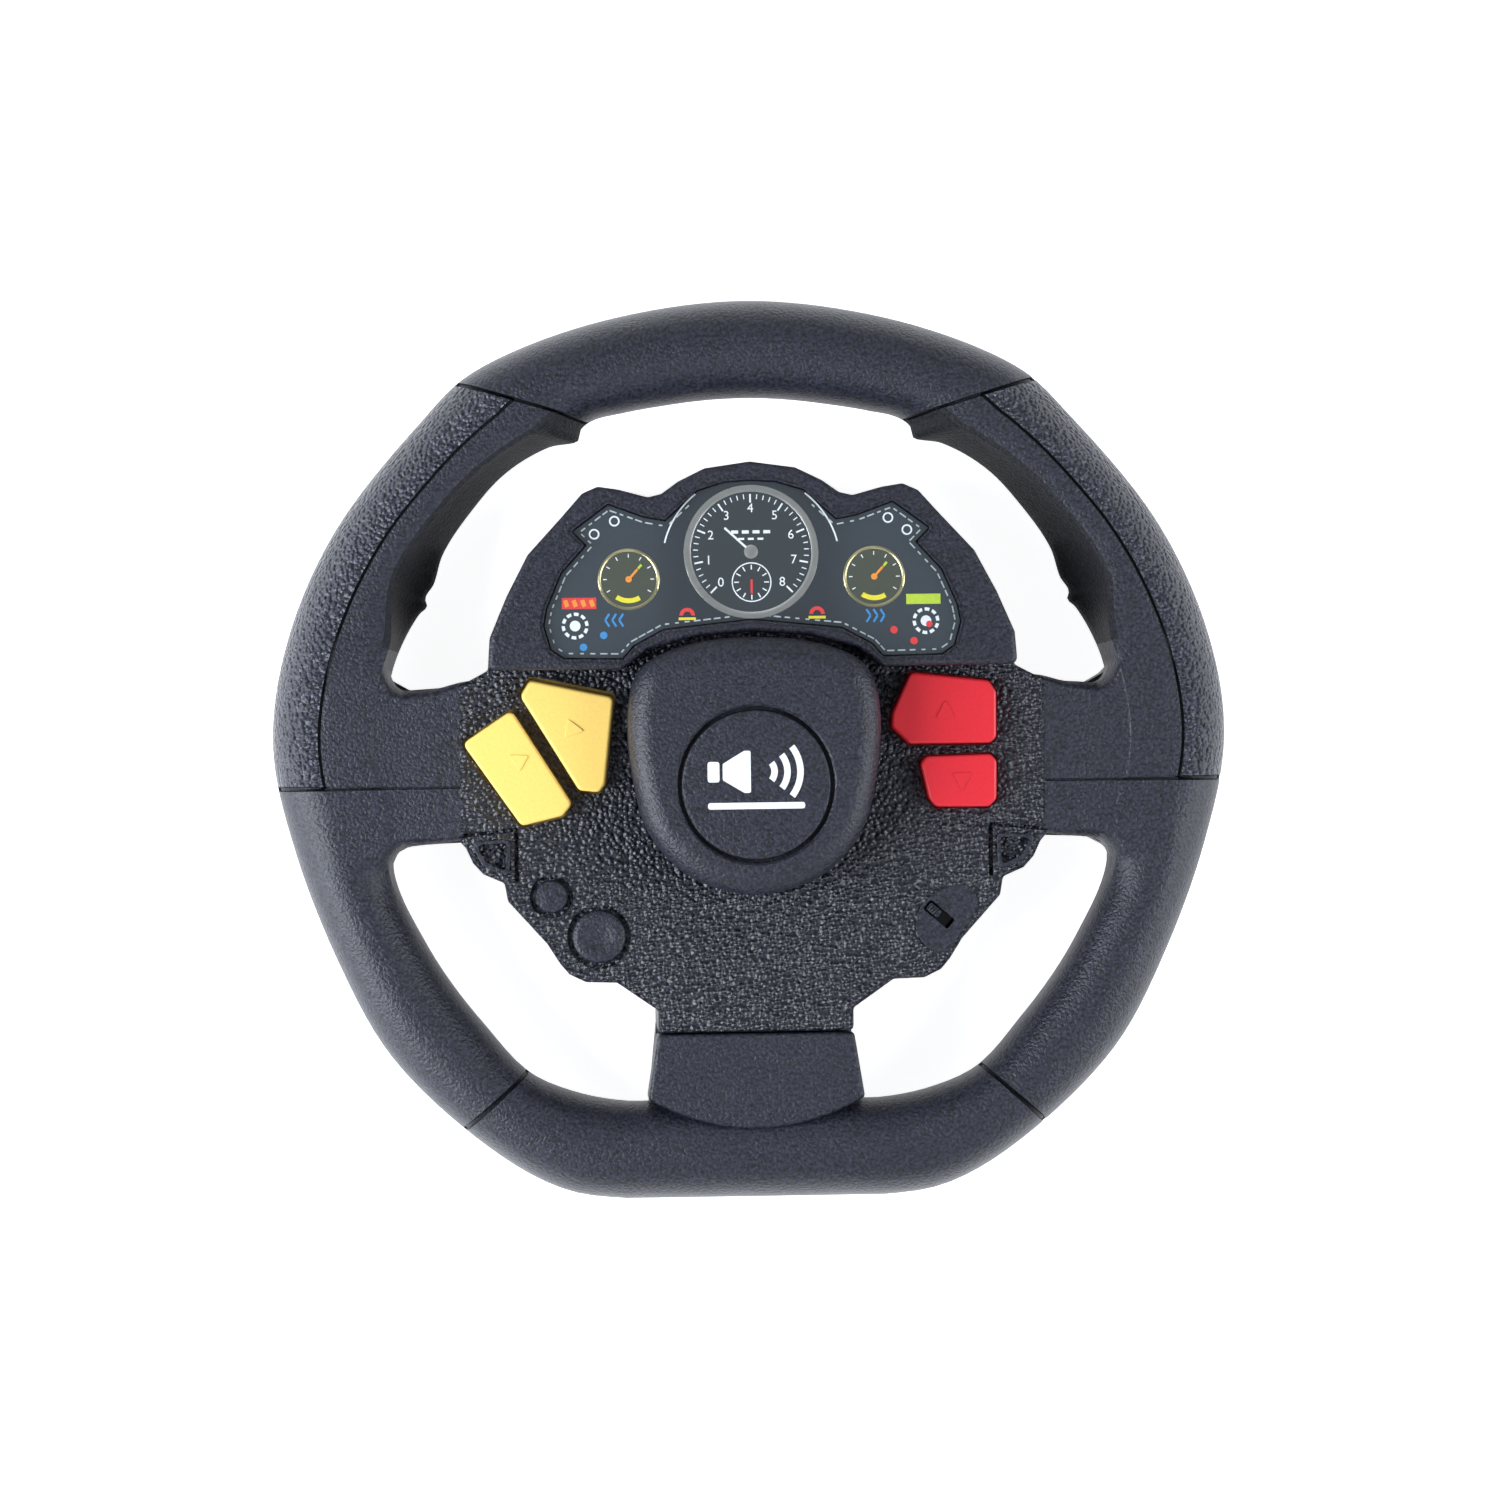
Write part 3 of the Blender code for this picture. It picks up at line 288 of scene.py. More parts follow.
def evened(piece):
    """Keeps broad flat faces flat next to their rounded edges."""
    even = piece.modifiers.new("even", "WEIGHTED_NORMAL")
    even.keep_sharp = True


def thicken(sheet, wall):
    """Gives an open sheet its wall, inwards, and turns every face out."""
    bmesh.ops.remove_doubles(sheet, verts=sheet.verts, dist=1e-6)
    bmesh.ops.recalc_face_normals(sheet, faces=sheet.faces)
    bmesh.ops.solidify(sheet, geom=sheet.faces, thickness=wall)


def plastic(name, colour, roughness, grain=0.0, pebble=0.0, mottling=0.25, sheen=0.5, metal=0.0):
    """Moulded plastic: fine grain from an eroded tool, and leather-like pebbles where it has them."""
    made = bpy.data.materials.new(name)
    made.use_nodes = True
    nodes, links = made.node_tree.nodes, made.node_tree.links
    shader = nodes["Principled BSDF"]
    shader.inputs["Specular IOR Level"].default_value = sheen
    shader.inputs["Metallic"].default_value = metal
    place = nodes.new("ShaderNodeTexCoord").outputs["Object"]
    cloud = nodes.new("ShaderNodeTexNoise")
    cloud.inputs["Scale"].default_value = 55
    cloud.inputs["Detail"].default_value = 4
    links.new(place, cloud.inputs["Vector"])
    tint = nodes.new("ShaderNodeMix")
    tint.data_type = "RGBA"
    tint.inputs["A"].default_value = (*[c * (1 - mottling) for c in colour], 1)
    tint.inputs["B"].default_value = (*[c * (1 + mottling) for c in colour], 1)
    speckle = nodes.new("ShaderNodeTexNoise")
    speckle.inputs["Scale"].default_value = 1700
    speckle.inputs["Detail"].default_value = 3
    links.new(place, speckle.inputs["Vector"])
    spread = nodes.new("ShaderNodeMapRange")
    spread.inputs["From Min"].default_value = 0.36
    spread.inputs["From Max"].default_value = 0.64
    links.new(speckle.outputs["Fac"], spread.inputs["Value"])
    links.new(spread.outputs["Result"], tint.inputs["Factor"])
    links.new(tint.outputs["Result"], shader.inputs["Base Color"])
    wear = nodes.new("ShaderNodeMapRange")
    wear.inputs["To Min"].default_value = roughness - 0.07
    wear.inputs["To Max"].default_value = roughness + 0.09
    links.new(cloud.outputs["Fac"], wear.inputs["Value"])
    links.new(wear.outputs["Result"], shader.inputs["Roughness"])
    bump = nodes.new("ShaderNodeBump")
    bump.inputs["Strength"].default_value = grain
    bump.inputs["Distance"].default_value = 0.0003
    links.new(speckle.outputs["Fac"], bump.inputs["Height"])
    last = bump
    if pebble:
        cells = nodes.new("ShaderNodeTexVoronoi")
        cells.feature = "SMOOTH_F1"
        cells.inputs["Scale"].default_value = 1150
        cells.inputs["Smoothness"].default_value = 0.35
        cells.inputs["Randomness"].default_value = 1.0
        links.new(place, cells.inputs["Vector"])
        pebbles = nodes.new("ShaderNodeBump")
        pebbles.invert = True
        pebbles.inputs["Strength"].default_value = pebble
        pebbles.inputs["Distance"].default_value = 0.0007
        links.new(cells.outputs["Distance"], pebbles.inputs["Height"])
        links.new(bump.outputs["Normal"], pebbles.inputs["Normal"])
        last = pebbles
    links.new(last.outputs["Normal"], shader.inputs["Normal"])
    return made


BLACK = (0.0130, 0.0140, 0.0245)
smooth_black = plastic("smooth_black", BLACK, 0.42, grain=1.0, mottling=0.8)
pebbled_black = plastic("pebbled_black", [c * 0.75 for c in BLACK], 0.31, grain=0.6, pebble=1.0, mottling=0.9)
grip_black = plastic("grip_black", [c * 1.3 for c in BLACK], 0.31, grain=0.6, pebble=1.0, mottling=0.9)
# Near-black painted shade, laid on the rim's seams, the grip's groove and the steep upper inner flanks, where
# shade falls.
painted_shade_black = plastic("painted_shade_black", (0.0060, 0.0062, 0.0100), 0.55, grain=1.0, mottling=0.8, sheen=0.35)


def rim_stations():
    """Clock angles round the rim, closer together at the seams and at the grip's ends."""
    marks = set(range(-180, 181, 2))
    for clock in range(26, 114):
        marks |= {clock + 0.5, -clock - 0.5, clock, -clock}
    for seam in (UPPER_SEAM, SIDE_SEAM, LOWER_SEAM):
        marks = {m for m in marks if abs(abs(m) - seam) > 2 * SEAM_HALF}
        for step in (-1.6, -1, 1, 1.6):
            marks |= {seam + step * SEAM_HALF, -seam - step * SEAM_HALF}
    return sorted(marks)


# Height field of a side spoke's top, in millimetres: where its edges run, how far they are rounded, and
# how it falls. The rim rises into it through a soft corner.
SPOKE_HIGH = (
    (54, 13.2), (56, 12.7), (58.7, 12.0), (62.7, 11.6), (65, 11.7), (66.5, 12.6), (67.4, 14.2),
    (68.4, 17.5), (70, 22.5), (72, 26.5), (75, 29.0), (80, 30.0),
)
SPOKE_LOW = (
    (54, -16.3), (58, -17.0), (62, -17.3), (65, -17.8), (66.5, -18.8), (67.4, -20.6), (68.4, -23.0),
    (70, -25.5), (72, -27.0), (75, -28.0), (80, -28.0),
)
SPOKE_TOP = ((54, 27.45), (58, 27.3), (67, 27.0), (76, 27.0), (79, 26.6), (81, 24.0), (84, 8.0), (90, 0.0))
SPOKE_EDGE = ((54, 1.1), (62, 1.5), (66, 2.2), (69, 6.0), (72, 9.5), (82, 12.0))
SPOKE_DROP = ((54, 1.3), (62, 2.0), (66, 4.0), (69, 9.0), (82, 9.5))
BLEND = 1.6
FLAT_INNER = ((0, 0), (90, 0), (94, 1), (100, 1), (112, 0), (180, 0))  # the tube's inner half, by clock angle


def curved(knots, at):
    """The value at a place on a smooth curve through the knots."""
    for i in range(len(knots) - 1):
        (a, low), (b, high) = knots[i], knots[i + 1]
        if at <= b:
            before, after = knots[max(i - 1, 0)], knots[min(i + 2, len(knots) - 1)]
            enter = (high - before[1]) / (b - before[0])
            leave = (after[1] - low) / (after[0] - a)
            t, span = max(0.0, (at - a) / (b - a)), b - a
            return (
                (2 * t ** 3 - 3 * t * t + 1) * low + (t ** 3 - 2 * t * t + t) * span * enter
                + (3 * t * t - 2 * t ** 3) * high + (t ** 3 - t * t) * span * leave
            )
    return knots[-1][1]


def spoke_height(x, y):
    """Height of a side spoke's top at |x|, y, falling away past its edges."""
    x = abs(x)
    edge, drop = eased(SPOKE_EDGE, x), eased(SPOKE_DROP, x)
    high, low = curved(SPOKE_HIGH, x), curved(SPOKE_LOW, x)
    t = min(high - y, y - low) / edge
    return eased(SPOKE_TOP, x) - (drop * (1 - t) ** 2 if t < 1 else 0.0)


def blended(z, x, y):
    """The rim's height raised softly to the spoke's, in metres."""
    if abs(x) < 0.064 or abs(y) > 0.042:
        return z
    spoke = spoke_height(x * 1000, y * 1000) / 1000
    near = max(0.0, BLEND / 1000 - abs(z - spoke)) / (BLEND / 1000)
    return max(z, spoke) + near * near * BLEND / 4000 if spoke > z - BLEND / 1000 else z


def rim_section(clock, low, high, front):
    """One station's row of points, from the outer edge to the inner one."""
    outside, inside = rim_ends(clock)
    turn = abs(clock)
    rise = high - low
    seam = min(abs(turn - s) for s in (UPPER_SEAM, SIDE_SEAM, LOWER_SEAM)) < 1.2 * SEAM_HALF
    if front and UPPER_SEAM < turn < SIDE_SEAM:
        lag = math.radians(eased(SEAM_SKEW, turn)) * inside.length
        profile = grip_profile((inside - outside).length, math.hypot(1.0, lag / GRIP_WIDTH), turn)
    else:
        flat = eased(FLAT_INNER, turn) if front else 0.0
        profile = [(u, h + max(0.0, 0.98 - h) * flat if 0.5 < u < 0.95 else h) for u, h in round_profile()]
    points = []
    for across, share in profile:
        point = outside.lerp(inside, across)
        z = low + rise * share
        if front and 0.0 < across < 1.0:
            z = min(blended(z, point.x, point.y), high)
        if seam and front:
            point = point.lerp(outside.lerp(inside, 0.5), 0.05)
            z = max(low, z - SEAM_DEPTH)
        points.append((point.x, point.y, z))
    return points


# Material numbers: smooth plastic, pebbled plastic, near-black painted shade.
SMOOTH, PEBBLED, PAINTED_SHADE = 0, 1, 2


def rim_finishes(clock):
    """Material numbers of the strip of faces at a clock angle, from the outer edge to the inner one; seams,
    groove and upper flank get painted shade.
    """
    turn = abs(clock)
    faces = ROUND_POINTS - 1
    if min(abs(turn - s) for s in (UPPER_SEAM, SIDE_SEAM, LOWER_SEAM)) < SEAM_HALF:
        return [PAINTED_SHADE] * faces
    if not UPPER_SEAM < turn < SIDE_SEAM:
        return [SMOOTH] * faces
    # Painted shade on the steep inner flank of the upper grip.
    flank = PAINTED_SHADE if turn < 74 else SMOOTH
    return [PEBBLED] * 9 + [PAINTED_SHADE] * 3 + [SMOOTH] * 4 + [flank] * 10


stations = rim_stations()
sections = [rim_section(clock, PARTING_Z, RIM_TOP_Z, True) for clock in stations]
strips = [rim_finishes((a + b) / 2) for a, b in zip(stations, stations[1:])]
bm = drawn(sections, finishes=strips)
thicken(bm, SHELL_WALL)
front_rim = finished("front_rim", bm, (smooth_black, grip_black, painted_shade_black))
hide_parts("front_shell")

# ---- Side spokes, front half ---------------------------------------------------------------------
# The two arms between the panel and the rim. Each is flush with the panel, flares into the rim through
# soft corners, and carries the groove of the rim's side seam.
SEAM_Y = -6.6
spoke_stations = [54.2 + 12.0 * i / 10 for i in range(10)] + [65.2 + 0.5 * i for i in range(30)]


def spoke_row(x, side):
    """A row across one arm, from its upper wall over the top to its lower one."""
    top = eased(SPOKE_TOP, x)
    edge = eased(SPOKE_EDGE, x)
    high, low = curved(SPOKE_HIGH, x), curved(SPOKE_LOW, x)
    rows = [high - edge * t for t in (0.0, 0.03, 0.08, 0.16, 0.26, 0.38, 0.52, 0.68, 0.84, 1.0)]
    reach = high - edge - (SEAM_Y + 0.5)
    rows += [high - edge - reach * share for share in (0.2, 0.4, 0.6, 0.8, 1.0)]
    groove = [SEAM_Y + 0.25, SEAM_Y + 0.15, SEAM_Y - 0.15, SEAM_Y - 0.25]
    rows += groove
    reach = SEAM_Y - 0.5 - (low + edge)
    rows += [SEAM_Y - 0.5 - reach * share for share in (0.0, 0.33, 0.66, 1.0)]
    rows += [low + edge * t for t in (0.84, 0.68, 0.52, 0.38, 0.26, 0.16, 0.08, 0.03, 0.0)]
    points = [(side * x, high, 16.0)]
    for y in rows:
        z = spoke_height(x, y) - 0.03 - (0.9 if y in groove[1:3] else 0.0)
        points.append((side * x, y, z))
    points.append((side * x, low, 16.0))
    return [(a / 1000, b / 1000, c / 1000) for a, b, c in points]


for name, side in (("front_spoke_left", -1), ("front_spoke_right", 1)):
    bm = drawn([spoke_row(x, side) for x in spoke_stations])
    thicken(bm, SHELL_WALL / 2)
    finished(name, bm, smooth_black)

# ---- Centre panel --------------------------------------------------------------------------------
# Middle of the front moulding: a pebbled plate with rounded edges, wells for the buttons, a slot for the
# switch, ringed pads and a triangular tab with a pocket at each side.
PANEL_TOP_Z = 0.0276
WELL_LOW_Z, WELL_HIGH_Z = 0.0250, 0.0300
WELL_GAP = 0.0004
CUT_TOP_Z = 0.0280
DASH_EDGE = (
    (0.0, 0.0536), (0.0085, 0.0524), (0.0134, 0.0500), (0.0166, 0.0477), (0.0191, 0.0471),
    (0.0246, 0.0486), (0.0285, 0.0492), (0.0314, 0.0479), (0.0353, 0.0435), (0.0417, 0.0365),
    (0.0457, 0.0288), (0.0489, 0.0212), (0.0493, 0.0152),
)
PANEL_REST = (
    (0.0529, 0.0133), (0.0550, 0.0130), (0.0550, -0.0166), (0.0538, -0.0180), (0.0525, -0.0208),
    (0.0506, -0.0229), (0.0467, -0.0246), (0.0461, -0.0280), (0.0389, -0.0360), (0.0365, -0.0398),
    (0.0348, -0.0418), (0.0317, -0.0433), (0.0259, -0.0435), (0.0183, -0.0488), (0.0183, -0.0530),
)
BUTTON_OUTLINES = {
    "steer_left_button": (
        (-0.0542, 0.0016), (-0.0450, 0.0077), (-0.0339, -0.0099), (-0.0357, -0.0121), (-0.0434, -0.0139),
    ),
    "steer_right_button": (
        (-0.0433, 0.0107), (-0.0414, 0.0137), (-0.0259, 0.0104), (-0.0277, -0.0063), (-0.0288, -0.0078),
        (-0.0326, -0.0074),
    ),
    "forward_button": (
        (0.0295, 0.0139), (0.0442, 0.0122), (0.0456, 0.0101), (0.0455, 0.0015), (0.0444, 0.0005),
        (0.0291, 0.0005), (0.0258, 0.0037), (0.0260, 0.0062),
    ),
    "reverse_button": (
        (0.0312, -0.0032), (0.0323, -0.0019), (0.0444, -0.0016), (0.0455, -0.0028), (0.0454, -0.0100),
        (0.0440, -0.0114), (0.0340, -0.0113), (0.0327, -0.0096),
    ),
}
SMALL_PAD = (-0.0380, -0.0272, 0.0031)
LARGE_PAD = (-0.0292, -0.0348, 0.0050)
TAB_POCKET = ((0.0461, -0.0171), (0.0519, -0.0173), (0.0503, -0.0206), (0.0464, -0.0226))
SWITCH_PLACE = (0.0345, -0.0315)
SWITCH_TURN = math.radians(-41)


def widened(outline, distance):
    """The outline moved outwards by a distance at every corner."""
    following = list(outline[1:]) + [outline[0]]
    area = sum(ax * by - bx * ay for (ax, ay), (bx, by) in zip(outline, following))
    side = math.copysign(1.0, area)
    moved = []
    for i, here in enumerate(outline):
        arriving = (Vector(here) - Vector(outline[i - 1])).normalized()
        leaving = (Vector(following[i]) - Vector(here)).normalized()
        first = Vector((arriving.y, -arriving.x)) * side
        second = Vector((leaving.y, -leaving.x)) * side
        mitre = (first + second) / (1.0 + first.dot(second))
        moved.append(tuple(Vector(here) + mitre * distance))
    return moved


def rounded(outline, radius, segments=4):
    """The outline with its corners rounded, by less where its sides are short."""
    made = []
    for i, here in enumerate(outline):
        here = Vector(here)
        back = Vector(outline[i - 1]) - here
        on = Vector(outline[(i + 1) % len(outline)]) - here
        opening = back.angle(on)
        cut = min(radius / max(math.tan(opening / 2), 0.05), back.length * 0.45, on.length * 0.45)
        start, end = here + back.normalized() * cut, here + on.normalized() * cut
        for n in range(segments + 1):
            t = n / segments
            made.append(tuple(start * (1 - t) ** 2 + here * 2 * t * (1 - t) + end * t * t))
    return made


def plate(outline, low, high, corner=0.0, rim=0.0, segments=4):
    """An upright prism with rounded corners and a rounded top edge."""
    made = bmesh.new()
    if corner:
        outline = rounded(outline, corner, segments)
    ring = [made.verts.new((x, y, low)) for x, y in outline]
    base = made.faces.new(ring)
    raised = bmesh.ops.extrude_face_region(made, geom=[base])["geom"]
    bmesh.ops.translate(
        made, verts=[v for v in raised if isinstance(v, bmesh.types.BMVert)], vec=(0, 0, high - low),
    )
    bmesh.ops.recalc_face_normals(made, faces=made.faces)
    if rim:
        edges = [e for e in made.edges if all(abs(v.co.z - high) < 1e-6 for v in e.verts)]
        bmesh.ops.bevel(
            made, geom=edges, offset=rim, affect="EDGES", segments=segments, profile=0.5, material=-1,
            clamp_overlap=True,
        )
    return made


def open_below(shape, low):
    """Takes away the bottom face, whose corners all stand at a height."""
    bottom = [f for f in shape.faces if all(v.co.z < low + 1e-6 for v in f.verts)]
    bmesh.ops.delete(shape, geom=bottom, context="FACES")


def turned(profile, x, y, steps=64, ring=False):
    """A body turned about an upright axis at x, y from (radius, height) points."""
    made = bmesh.new()
    verts = [made.verts.new((r, 0, z)) for r, z in profile]
    edges = [made.edges.new(pair) for pair in zip(verts, verts[1:])]
    if ring:
        edges.append(made.edges.new((verts[-1], verts[0])))
    bmesh.ops.spin(
        made, geom=verts + edges, cent=(0, 0, 0), axis=(0, 0, 1), angle=2 * math.pi, steps=steps,
        use_merge=True,
    )
    bmesh.ops.remove_doubles(made, verts=made.verts, dist=1e-7)
    bmesh.ops.recalc_face_normals(made, faces=made.faces)
    bmesh.ops.translate(made, verts=made.verts, vec=(x, y, 0))
    return made


def merged(shape, part):
    """Adds a part to a shape and frees the part."""
    mesh = bpy.data.meshes.new("part")
    part.to_mesh(mesh)
    part.free()
    shape.from_mesh(mesh)
    bpy.data.meshes.remove(mesh)


def helper(shape, finish):
    """A loose object that carves another one."""
    mesh = bpy.data.meshes.new("helper")
    shape.to_mesh(mesh)
    shape.free()
    mesh.materials.append(finish)
    made = bpy.data.objects.new("helper", mesh)
    bpy.context.scene.collection.objects.link(made)
    return made


def carved(piece, cutters, finish, operation="DIFFERENCE"):
    """Cuts the cutters out of a piece, or joins them to it, and leaves one plain mesh."""
    helpers = [helper(cutter, finish) for cutter in cutters]
    piece.modifiers.clear()
    for one in helpers:
        modifier = piece.modifiers.new("carve", "BOOLEAN")
        modifier.operation = operation
        modifier.solver = "EXACT"
        modifier.object = one
    bpy.context.view_layer.update()
    mesh = bpy.data.meshes.new_from_object(piece.evaluated_get(bpy.context.evaluated_depsgraph_get()))
    piece.modifiers.clear()
    piece.data = mesh
    mesh.shade_smooth()
    mesh.set_sharp_from_angle(angle=math.radians(35))
    evened(piece)
    for one in helpers:
        bpy.data.objects.remove(one)


def bar(start, end, width):
    """Outline of a straight bar between two points."""
    start, end = Vector(start), Vector(end)
    side = (end - start).normalized().orthogonal() * width / 2
    return [tuple(p) for p in (start + side, end + side, end - side, start - side)]


def on_side(outline, side):
    """An outline of the right half on the right (1) or mirrored on the left (-1)."""
    return [(side * x, y) for x, y in outline]


def slot_outline(length, width, shift=0.0):
    """A box along the switch's slant, moved along it by a shift."""
    turn = Matrix.Rotation(SWITCH_TURN, 2)
    corners = ((-length, -width), (length, -width), (length, width), (-length, width))
    return [tuple(Vector(SWITCH_PLACE) + turn @ Vector((u / 2 + shift, v / 2))) for u, v in corners]


def switch_slot():
    return plate(slot_outline(0.0060, 0.0023), WELL_LOW_Z, WELL_HIGH_Z, corner=0.0004, segments=2)


panel_edge = both_halves(DASH_EDGE + PANEL_REST)
bm = plate(panel_edge, PARTING_Z, PANEL_TOP_Z, corner=0.0010, rim=0.0009, segments=3)
panel = finished("centre_panel", bm, pebbled_black)
wells = [
    plate(widened(outline, WELL_GAP), WELL_LOW_Z, WELL_HIGH_Z, corner=0.0010, segments=3)
    for outline in BUTTON_OUTLINES.values()
]
wells.append(switch_slot())
grooves = [
    turned([
        (r, 0.02675), (r + 0.0009, 0.02675), (r + 0.0010, CUT_TOP_Z), (r - 0.0001, CUT_TOP_Z),
    ], x, y, ring=True)
    for x, y, r in (SMALL_PAD, LARGE_PAD)
]
for side in (-1, 1):
    for start, end in (
        ((0.0442, -0.0146), (0.0560, -0.0158)),
        ((0.0444, -0.0150), (0.0444, -0.0243)),
    ):
        grooves.append(plate(on_side(bar(start, end, 0.0008), side), 0.0264, CUT_TOP_Z))
    grooves.append(plate(on_side(TAB_POCKET, side), 0.0268, CUT_TOP_Z, corner=0.0008, segments=3))
hollow = plate(widened(panel_edge, -SHELL_WALL), PARTING_Z - 0.001, PANEL_TOP_Z - SHELL_WALL)
carved(panel, [hollow] + wells + grooves, pebbled_black)

# ---- Bottom spoke, front half --------------------------------------------------------------------
# A smooth tongue that widens from the panel down onto the rim and ends there in a shallow arc, one step
# above the tube.
FOOT_TOP_Z = 0.0270
FOOT_START_Y = -0.0533
FOOT_HALF = (0.0184, 0.0203)
FOOT_CORNER_Y = -0.0655
FOOT_END_Y = -0.0712


def foot_outline():
    """The tongue's outline: widening sides and a shallow arc across the rim."""
    top, low = FOOT_HALF
    steps = 16
    arc = []
    for i in range(steps + 1):
        across = 1 - 2 * i / steps
        arc.append((across * low, FOOT_END_Y + (FOOT_CORNER_Y - FOOT_END_Y) * across ** 2))
    return [(-top, FOOT_START_Y), (top, FOOT_START_Y)] + arc


tongue = plate(foot_outline(), PARTING_Z, FOOT_TOP_Z, corner=0.0009, rim=0.0007, segments=4)
tongue = finished("front_foot", tongue, smooth_black)
hollow = plate(widened(foot_outline(), -SHELL_WALL), PARTING_Z - 0.001, FOOT_TOP_Z - SHELL_WALL)
carved(tongue, [hollow], smooth_black)

# ---- Pads and tabs of the panel ------------------------------------------------------------------
# Small smooth mouldings on the pebbled plate: two round pads in their rings, a frame round the pocket of
# each tab, and the raised patch round the switch.
pads = bmesh.new()
merged(pads, turned([
    (0, 0.0281), (0.0022, 0.0281), (0.0028, 0.0280), (0.00305, 0.0277), (0.0031, 0.0266), (0, 0.0266),
], *SMALL_PAD[:2]))
merged(pads, turned([
    (0, 0.02765), (0.0014, 0.02770), (0.0022, 0.0279), (0.0030, 0.02815), (0.0040, 0.0282), (0.0047, 0.0280),
    (0.00495, 0.0277), (0.0050, 0.0266), (0, 0.0266),
], *LARGE_PAD[:2]))
finished("round_pads", pads, smooth_black)

TAB_FRAME = ((0.0455, -0.0163), (0.0530, -0.0167), (0.0509, -0.0212), (0.0457, -0.0236))
TAB_HOLE = ((0.0462, -0.0170), (0.0519, -0.0173), (0.0502, -0.0206), (0.0464, -0.0225))
ridge = bmesh.new()
for side in (-1, 1):
    shape = plate(on_side(TAB_FRAME, side), 0.0270, 0.0280, corner=0.0010, rim=0.00025, segments=3)
    piece = helper(shape, smooth_black)
    hole = plate(on_side(TAB_HOLE, side), 0.0260, 0.0290, corner=0.0008, segments=3)
    carved(piece, [hole], smooth_black)
    ridge.from_mesh(piece.data)
    bpy.data.objects.remove(piece)
finished("tab_frames", ridge, smooth_black)

SWITCH_PATCH = [
    (0.0302, -0.0345), (0.0308, -0.0305), (0.0330, -0.0280), (0.0365, -0.0262), (0.0400, -0.0262),
    (0.0418, -0.0288), (0.0410, -0.0318), (0.0385, -0.0350), (0.0360, -0.0385), (0.0325, -0.0378),
]
bm = plate([tuple(p) for p in spline(SWITCH_PATCH, 6)], 0.0270, 0.02785, rim=0.0002, segments=2)
switch_pad = finished("switch_pad", bm, smooth_black)
carved(switch_pad, [switch_slot()], smooth_black)

# ---- Power switch lever --------------------------------------------------------------------------
# Small black slider in the slanted slot, ribbed for the fingertip; a wider foot keeps it under the panel.
LEVER_REST = -0.00125  # from the slot's middle
LEVER_LOW_Z = 0.0247
slider = slot_outline(0.0027, 0.0016, LEVER_REST)
lever = plate(slider, LEVER_LOW_Z, 0.0284, corner=0.0003, rim=0.0002, segments=2)
for shift in (-0.0008, -0.0003, 0.0003, 0.0008):
    rib = slot_outline(0.00028, 0.0015, LEVER_REST + shift)
    merged(lever, plate(rib, 0.0282, 0.0287, rim=0.0001, segments=2))
merged(lever, plate(slot_outline(0.0027, 0.0029, LEVER_REST), LEVER_LOW_Z, 0.0253))
lever = finished("slide_lever", lever, smooth_black, body="switch_lever")
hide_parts("power_switch_lever")

# ---- Buttons -------------------------------------------------------------------------------------
# Two yellow steering buttons and two red drive buttons: glossy-matt moulded caps with rounded edges, a
# raised arrow each, and a flange under the panel that keeps them in.


def cap_plastic(name, colour):
    """Coloured cap plastic: even tint, a trace of flow marks, fine eroded grain."""
    made = plastic(name, colour, 0.38, grain=0.12, mottling=0.03, sheen=0.45)
    shader = made.node_tree.nodes["Principled BSDF"]
    shader.inputs["Subsurface Weight"].default_value = 0.08
    shader.inputs["Subsurface Radius"].default_value = (0.002, 0.001, 0.0005)
    shader.inputs["Subsurface Scale"].default_value = 0.5
    return made


yellow_cap = cap_plastic("yellow_cap", (0.93, 0.64, 0.165))
red_cap = cap_plastic("red_cap", (0.70, 0.022, 0.036))
BUTTON_TOP_Z = 0.0306
ARROWS = {
    "steer_left_button": (-0.0440, -0.0016, math.radians(150)),
    "steer_right_button": (-0.0335, 0.0040, math.radians(-10)),
    "forward_button": (0.0360, 0.0066, math.radians(90)),
    "reverse_button": (0.0390, -0.0064, math.radians(-90)),
}
ARROW = ((0.0021, 0.0), (-0.0014, 0.0018), (-0.0014, -0.0018))
for name, outline in BUTTON_OUTLINES.items():
    finish, slot = (yellow_cap, "yellow_button") if name.startswith("steer") else (red_cap, "red_button")
    cap = plate(outline, 0.0250, BUTTON_TOP_Z, corner=0.0013, segments=4)
    top = [v for v in cap.verts if v.co.z > BUTTON_TOP_Z - 1e-6]
    if name == "steer_right_button":
        for v in top:
            v.co.y -= 0.0005 * max(0.0, min(1.0, (v.co.y - 0.0060) / 0.0040))
    edges = [e for e in cap.edges if all(v in top for v in e.verts)]
    bmesh.ops.bevel(
        cap, geom=edges, offset=0.0006, affect="EDGES", segments=4, profile=0.5, material=-1,
        clamp_overlap=True,
    )
    x, y, turn = ARROWS[name]
    spin = Matrix.Rotation(turn, 2)
    arrow = [tuple(Vector((x, y)) + spin @ Vector(p)) for p in ARROW]
    low, high = BUTTON_TOP_Z - 0.0002, BUTTON_TOP_Z + 0.00022
    merged(cap, plate(arrow, low, high, corner=0.0003, rim=0.0001, segments=2))
    merged(cap, plate(widened(outline, 0.0006), 0.0241, 0.0252, corner=0.0014, segments=4))
    button = finished(name.replace("_button", "_cap"), cap, finish, body=name.replace("_button", ""))
    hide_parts(name)

